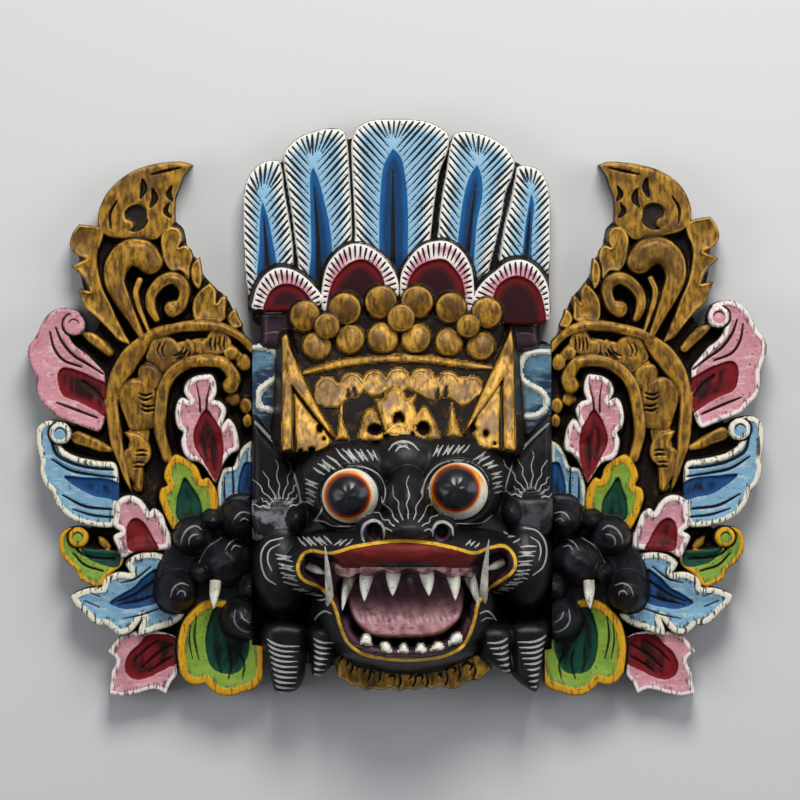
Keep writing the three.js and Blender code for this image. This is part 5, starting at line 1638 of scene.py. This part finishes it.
def draw_chin(block):
    """Scrolls cut into the gold leaf band under the chin."""
    for k in range(10):
        x = -58 + k * 15.4 + 2.6 * math.sin(2.3 * k)
        low = 20 + 0.0035 * (x - 8) ** 2 + 1.5 * math.sin(3.7 * k)
        size = 0.8 + 0.35 * math.sin(1.7 * k + 1)
        block.cut([(x - 5 * size, low + 4, 0.6), (x, low + 8 * size, 1.5), (x + 5 * size, low + 5, 1.4),
                   (x + 2, low, 0.5)], 2.8, ("gold",), True)
        block.cut([(x + 7, low + 9, 0.6), (x + 8 + size, low - 1, 1.5), (x + 6, low - 8, 0.7)], 2.4,
                  ("gold",), True)


def back_hollow(work, slot):
    """The tapered hollow in the back: adds its sides and floor and gives its rim's edges."""
    rim, floor = [], []
    for k in range(HOLLOW_SIDES):
        c, s = math.cos(2 * math.pi * k / HOLLOW_SIDES), math.sin(2 * math.pi * k / HOLLOW_SIDES)
        x, y = FACE_X * SHARE + MIDDLE_X, FACE_Y * SHARE + MIDDLE_Y
        rim.append(work.verts.new((x + c * HOLLOW_HALF_X, y + s * HOLLOW_HALF_Y, 0)))
        floor.append(work.verts.new((
            x + c * (HOLLOW_HALF_X - HOLLOW_TAPER), y + s * (HOLLOW_HALF_Y - HOLLOW_TAPER), HOLLOW_DEPTH)))
    for k in range(HOLLOW_SIDES):
        j = (k + 1) % HOLLOW_SIDES
        work.faces.new((rim[k], rim[j], floor[j], floor[k])).material_index = slot
    work.faces.new(floor[::-1]).material_index = slot
    return [work.edges.get((rim[k], rim[(k + 1) % HOLLOW_SIDES])) for k in range(HOLLOW_SIDES)]


def keep_centre(x, y):
    """The block's planed sides, which only the feathers reach past."""
    return np.where(y < FEATHERS[0]["outline"][0][1] + 1, SEAM_X - np.abs(x), -FAR_OUT)


def carve_centre():
    block = Centre((-160, 0), (152, 586), CENTRE_STEP)
    block.solid(CENTRE_GROUND, CENTRE_BOARD, "ground", 1)
    block.solid(CROWN_GROUND, CENTRE_BOARD, "ground", 1)
    for feather, top in zip(FEATHERS, FEATHER_TOPS):
        carve_feather(block, feather, top)
    for scallop in SCALLOPS:
        carve_scallop(block, scallop, SCALLOP_TOP)
    carve_face(block)
    draw_chin(block)
    lip = Filled(LIP_LINE)
    here = block.window(lip.low, lip.high)
    block.marks["lip"][here] = -lip(block.x[here], block.y[here])
    draw_face(block)
    return block


def feather_colour(n):
    edge = n.mark("edge")
    streaks = n.sway(n.noise(420, 3, (1, 0.3, 1)), 5.0)
    inward = n.rise(n.plus(edge, streaks), 3.0, 14.0)
    colour = n.mix(inward, (0.80, 0.79, 0.73), (0.26, 0.46, 0.62))
    heart = n.mark("heart")
    inside = n.rise(heart, -0.5, 0.6)
    darker = n.rise(n.plus(heart, n.times(n.noise(60, 3), 4.0)), 3.0, 9.0)
    spear = n.mix(darker, (0.004, 0.098, 0.29), (0.004, 0.036, 0.115))
    colour = n.mix(inside, colour, spear)
    return n.mix(n.use(LINES)["Line"], colour, (0.006, 0.006, 0.008))


def scallop_colour(n):
    edge = n.mark("edge")
    pinkish = n.times(n.rise(edge, 3.0, 8.0), n.rise(n.noise(50, 2, shift=9.0), 0.35, 0.55))
    rim = n.mix(pinkish, (0.78, 0.72, 0.68), (0.60, 0.27, 0.34))
    inside = n.rise(n.mark("heart"), -1.2, 0.0)
    deep = n.rise(n.plus(n.mark("heart"), n.times(n.noise(70, 3), 8.0)), 4.0, 16.0)
    red = n.mix(deep, (0.165, 0.006, 0.009), (0.024, 0.003, 0.005))
    colour = n.mix(inside, rim, red)
    return n.mix(n.times(n.use(LINES)["Line"], n.less(inside)), colour,
                 (0.008, 0.005, 0.007))


def lipped(colour_of):
    """The yellow line that is painted round the whole mouth, over whatever colour lies there."""
    def with_lip(n):
        wavy = n.sway(n.noise(120, 2), 1.0)
        away = n.math("ABSOLUTE", n.plus(n.mark("lip"), wavy))
        yellow = n.mix(n.rise(n.noise(200, 3), 0.3, 0.6), (0.46, 0.22, 0.012), (0.78, 0.45, 0.035))
        brownish = n.mix(n.less(n.rise(away, 1.8, 3.0)), colour_of(n), (0.04, 0.015, 0.006))
        return n.mix(n.less(n.rise(away, 1.3, 1.9)), brownish, yellow)
    return with_lip


def face_colour(n):
    blue_grey = n.rise(n.noise(38, 4, shift=6.0), 0.5, 0.8)
    black = n.mix(blue_grey, (0.0055, 0.0055, 0.0065), (0.026, 0.026, 0.033))
    # grey patches where the tone mark is set, on the side blocks: worn paint and a painted highlight
    wear_and_highlight = n.times(n.rise(n.noise(75, 6, shift=2.0), 0.49, 0.60), n.mark("tone"))
    black = n.mix(wear_and_highlight, black, (0.19, 0.192, 0.215))
    faded = n.times(n.use(LINES)["Line"], n.plus(0.35, n.times(n.noise(90, 3), 0.8)))
    return n.mix(faded, black, (0.52, 0.52, 0.50))


def eye_colour(n):
    ring = n.mark("heart")
    ragged = n.plus(ring, n.sway(n.noise(150, 2), 1.2))
    side = n.mark("tone")
    outermost = n.less(n.rise(n.mark("edge"), 3.6, 5.0))
    cream = n.math("MAXIMUM", n.rise(side, -0.05, 0.45), outermost)
    rim = n.mix(cream, (0.84, 0.42, 0.022), (0.83, 0.79, 0.66))
    orange = n.mix(n.rise(ragged, -6.4, -3.6), rim, (0.74, 0.23, 0.008))
    red = n.mix(n.rise(ragged, -4.0, -2.4), orange, (0.22, 0.012, 0.005))
    dark = n.mix(n.rise(ragged, -1.6, 0.2), red, (0.006, 0.006, 0.009))
    around = n.less(n.rise(n.mark("edge"), 2.0, 2.5))
    return n.mix(around, dark, (0.007, 0.006, 0.008))


def red_colour(n):
    streaks = n.noise(260, 3, (0.2, 1, 1))
    return n.mix(n.rise(streaks, 0.35, 0.7), (0.115, 0.008, 0.007), (0.215, 0.017, 0.014))


def gum_colour(n):
    return n.mix(n.rise(n.noise(170, 4), 0.38, 0.6), (0.24, 0.09, 0.10), (0.70, 0.42, 0.44))


def throat_colour(n):
    return n.mix(n.rise(n.noise(90, 3), 0.35, 0.7), (0.013, 0.005, 0.011), (0.070, 0.018, 0.042))


def tongue_colour(n):
    edge = n.mark("edge")
    pink = n.mix(n.rise(n.noise(150, 4), 0.3, 0.6), (0.25, 0.105, 0.115), (0.50, 0.25, 0.275))
    # darker towards the tongue's back by the tone mark: painted shade
    pink = n.mix(n.mark("tone"), pink,
                 n.mix(n.noise(110, 3, shift=4.0), (0.045, 0.019, 0.025), (0.17, 0.075, 0.095)))
    nicks = n.rise(n.noise(260, 4, (0.5, 1, 1), 9.0), 0.60, 0.66)
    pink = n.mix(n.times(nicks, 0.7), pink, (0.10, 0.035, 0.05))
    brown = n.times(n.less(n.rise(edge, 1.5, 5.0)),
                   n.less(n.rise(n.mark("tone"), 0.0, 0.3)))
    return n.mix(brown, pink, (0.13, 0.055, 0.025))


def panel_colour(n):
    cloudy = n.mix(n.rise(n.noise(50, 4, shift=3.0), 0.44, 0.68), (0.008, 0.030, 0.070), (0.10, 0.22, 0.31))
    return n.mix(n.times(n.rise(n.noise(300, 3, (0.3, 1, 1), 5.0), 0.5, 0.7), 0.5), cloudy,
                 (0.30, 0.38, 0.42))


def shoulder_colour(n):
    dark = n.mix(n.noise(80, 3), (0.016, 0.008, 0.014), (0.055, 0.022, 0.035))
    return n.mix(n.times(n.use(LINES)["Line"], 0.5), dark, (0.30, 0.18, 0.22))


def cream_colour(n):
    wear_and_highlight = n.rise(n.noise(160, 4), 0.55, 0.7)
    return n.mix(n.times(wear_and_highlight, 0.7), (0.72, 0.71, 0.60), (0.20, 0.26, 0.27))


def ivory_colour(n):
    stain = n.rise(n.noise(160, 4, shift=8.0), 0.48, 0.72)
    ivory = n.mix(n.times(stain, 0.55), (0.86, 0.84, 0.74), (0.46, 0.40, 0.28))
    nicks = n.rise(n.noise(520, 3, (1, 0.2, 1), 2.0), 0.66, 0.72)
    return n.mix(n.times(nicks, 0.6), ivory, (0.07, 0.05, 0.03))


FINISHES.update({
    "feather": finish("blue feather paint", feather_colour, 0.5, wear=0.15, shine=0.2),
    "scallop": finish("pink scallop paint", scallop_colour, 0.5, wear=0.15, shine=0.16),
    "panel": finish("blue panel paint", panel_colour, 0.45),
    "shoulder": finish("dark purple paint", shoulder_colour, 0.4),
    "cream": finish("cream paint", cream_colour, 0.45, wax=0.8),
    "face": finish("black face lacquer", lipped(face_colour), 0.42, wax=0.0, wear=0.0, bump=0.55,
                   shine=0.24),
    "eye": finish("eye enamel", eye_colour, 0.30, coat=0.4, wax=0.3, wear=0.0, bump=0.15),
    "red": finish("red lip enamel", lipped(red_colour), 0.6, wax=0.3, wear=0.1, bump=0.3, shine=0.2),
    "gum": finish("pink gum paint", lipped(gum_colour), 0.4, wax=0.8),
    "throat": finish("dark throat paint", lipped(throat_colour), 0.5, wax=0.6),
    "tongue": finish("pink tongue paint", tongue_colour, 0.35, coat=0.1, wax=0.5),
    "tooth": finish("tooth paint", ivory_colour, 0.38, coat=0.1, wax=0.6),
})

centre = carve_centre().block("carved_face_and_crown", keep_centre, back_hollow)
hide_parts("face_and_crown")
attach(centre, "root")


# The fangs: twelve carved pegs of pale wood let into the gum, the jaw and the wings. Each is cut to a
# curved horn with flat knife strokes, glued into its socket, painted ivory and smudged with dark wax.
FANG_ROOT = 0.005
FANG_SIDES = 14
FANG_RINGS = 16
FANGS = {  # x, y and height of root and tip, half width, how far it bows, how stained it is
    "fang_upper_left_outer": ((-35, 129, 89), (-38, 101, 96), 7.5, 0.8, 0.1),
    "fang_upper_left_inner": ((-9, 131, 94), (-10, 107, 101), 8, 0.3, 0.1),
    "fang_upper_right_inner": ((24, 131, 94), (26, 107, 101), 8, -0.3, 0.1),
    "fang_upper_right_outer": ((50, 129, 89), (52, 102, 96), 7.5, -0.8, 0.2),
    "tusk_hanging_left": ((-51, 127, 79), (-60, 91, 88), 6, 1.0, 0.7),
    "tusk_hanging_right": ((66, 127, 79), (76, 94, 88), 6, -1.0, 0.7),
    "tusk_rising_left": ((-72, 100, 82), (-77, 158, 108), 4.5, 0.9, 0.45),
    "tusk_rising_right": ((80, 106, 82), (85, 164, 108), 4.5, -0.9, 0.45),
    "cheek_peg_left": ((-88, 133, 76), (-75, 128, 80), 4.5, 0.0, 0.1),
    "cheek_peg_right": ((94, 137, 76), (82, 132, 80), 4.5, 0.0, 0.1),
}
WING_FANG = ((187, 112, 47), (188, 91, 50), 6, 0.4, 0.2)


def place_of(x, y, height):
    return Vector((x * SHARE + MIDDLE_X, y * SHARE + MIDDLE_Y, height / 1000))


def peg_colour(n):
    """Ivory paint that is browner at the root, where wax lies in the socket, and on the old tusks."""
    ivory = ivory_colour(n)
    root = n.less(n.rise(n.plus(n.mark("along"), n.times(n.noise(220, 3), 0.2)),
                                          0.08, 0.42))
    ivory = n.mix(n.times(root, 0.45), ivory, (0.20, 0.13, 0.06))
    streaks = n.rise(n.noise(260, 4, (1, 0.15, 1), 5.0), 0.40, 0.62)
    return n.mix(n.times(streaks, n.mark("stain")), ivory, (0.10, 0.09, 0.06))


IVORY = finish("ivory fang paint", peg_colour, 0.40, coat=0.1, wax=0.0, wear=0.0, bump=0.3)


def carve_fang(name, root, tip, half, bow, stain):
    """A horn along a bowed line from the root to the tip, with the knife's flats round it."""
    root, tip = place_of(*root), place_of(*tip)
    axis = (tip - root).normalized()
    across = axis.cross(Vector((0, 0, 1))).normalized()
    front = across.cross(axis)
    length = (tip - root).length + FANG_ROOT
    radius = half * SHARE
    places, along, faces = [], [], []
    for i in range(FANG_RINGS):
        t = i / (FANG_RINGS - 1)
        past_root = max(0.0, (t * length - FANG_ROOT) / (length - FANG_ROOT))
        wide = radius * (1 - past_root ** 1.75) ** 0.85
        bowed = 0.16 * bow * radius * math.sin(math.pi * past_root)
        middle = root + axis * (t * length - FANG_ROOT) + across * bowed
        if i == FANG_RINGS - 1:
            places.append(middle)
            along.append(1.0)
            break
        for k in range(FANG_SIDES):
            angle = 2 * math.pi * k / FANG_SIDES
            flat = 1 - 0.05 * (1 + math.cos(3 * angle + 5 * len(name) + 1.5 * past_root))
            thin = 1.0 - 0.12 * past_root
            places.append(middle + across * (math.cos(angle) * wide * flat * thin)
                          + front * (math.sin(angle) * wide * flat))
            along.append(past_root)
    for i in range(FANG_RINGS - 2):
        for k in range(FANG_SIDES):
            a, b = i * FANG_SIDES + k, i * FANG_SIDES + (k + 1) % FANG_SIDES
            faces.append((a, b, b + FANG_SIDES, a + FANG_SIDES))
    last = (FANG_RINGS - 2) * FANG_SIDES
    for k in range(FANG_SIDES):
        faces.append((last + k, last + (k + 1) % FANG_SIDES, len(places) - 1))
    faces.append(tuple(range(FANG_SIDES))[::-1])
    mesh = bpy.data.meshes.new("carved_" + name)
    mesh.from_pydata(places, [], faces)
    mesh.attributes.new("along", "FLOAT", "POINT").data.foreach_set("value", along)
    mesh.attributes.new("stain", "FLOAT", "POINT").data.foreach_set("value", [stain] * len(places))
    mesh.materials.append(IVORY)
    for face in mesh.polygons:
        face.use_smooth = len(face.vertices) < FANG_SIDES
    piece = bpy.data.objects.new("carved_" + name, mesh)
    bpy.context.scene.collection.objects.link(piece)
    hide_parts(name)
    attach(piece, "root")


for name, row in FANGS.items():
    carve_fang(name, *row)
for side, name in ((-1, "wing_fang_left"), (1, "wing_fang_right")):
    carve_fang(name, *Wing(side).laid(WING_FANG[:2]), *WING_FANG[2:])


# The table: the mask lies on its flat back on a plain pale sheet, in soft light from a window-sized
# lamp above its crown, with a weaker one at each side to round the face.
def plain_sheet():
    made = bpy.data.materials.new("plain pale sheet")
    made.use_nodes = True
    shader = made.node_tree.nodes["Principled BSDF"]
    shader.inputs["Base Color"].default_value = (0.63, 0.63, 0.635, 1)
    shader.inputs["Roughness"].default_value = 0.9
    return made


SHEET_HALF = 3.0
sheet = bpy.data.meshes.new("sheet")
sheet.from_pydata([(-SHEET_HALF, -SHEET_HALF, 0), (SHEET_HALF, -SHEET_HALF, 0),
                   (SHEET_HALF, SHEET_HALF, 0), (-SHEET_HALF, SHEET_HALF, 0)], [], [(0, 1, 2, 3)])
sheet.materials.append(plain_sheet())
floor = bpy.data.objects.new("floor", sheet)
bpy.context.scene.collection.objects.link(floor)


def lamp(name, place, aim, size, watts, colour):
    """A soft square lamp that hangs at a place and shines towards a point."""
    light = bpy.data.lights.new(name, "AREA")
    light.shape = "SQUARE"
    light.size = size
    light.energy = watts
    light.color = colour
    holder = bpy.data.objects.new(name, light)
    holder.location = place
    holder.rotation_euler = (Vector(aim) - Vector(place)).to_track_quat("-Z", "Y").to_euler()
    bpy.context.scene.collection.objects.link(holder)


lamp("window lamp", (0.10, 1.15, 1.25), (0, 0, 0.05), 0.7, 24, (1.0, 0.985, 0.95))
lamp("left lamp", (-1.3, -0.1, 1.1), (0, 0, 0.05), 0.9, 6, (0.95, 0.97, 1.0))
lamp("right lamp", (1.2, 0.3, 0.9), (0, 0, 0.05), 0.9, 6, (0.95, 0.97, 1.0))
world = bpy.data.worlds.new("soft room")
world.use_nodes = True
world.node_tree.nodes["Background"].inputs["Color"].default_value = (0.80, 0.84, 0.9, 1)
world.node_tree.nodes["Background"].inputs["Strength"].default_value = 0.22
bpy.context.scene.world = world
bpy.context.scene.view_settings.view_transform = "Standard"

# The camera looks down on the mask from a little above its crown, through a very long lens.
LENS_MM = 300
SENSOR_MM = 36
FRAME_WIDTH = 800 * SHARE
PICTURE_X = -2 * SHARE
PICTURE_Y = 300 * SHARE
TILT = math.radians(0.6)
TURN = math.radians(-0.5)
aim = Vector((PICTURE_X + MIDDLE_X, PICTURE_Y + MIDDLE_Y, 0.045))
far = FRAME_WIDTH * LENS_MM / SENSOR_MM
away = Vector((math.sin(TURN), math.sin(TILT), math.cos(TILT) * math.cos(TURN))).normalized()
lens = bpy.data.cameras.new("camera")
lens.lens = LENS_MM
lens.sensor_width = SENSOR_MM
lens.clip_end = 50
camera = bpy.data.objects.new("camera", lens)
up = Vector((0, 1, 0))
right = up.cross(away).normalized()
camera.matrix_world = Matrix((right, away.cross(right), away)).transposed().to_4x4()
camera.location = aim + away * far
bpy.context.scene.collection.objects.link(camera)
bpy.context.scene.camera = camera
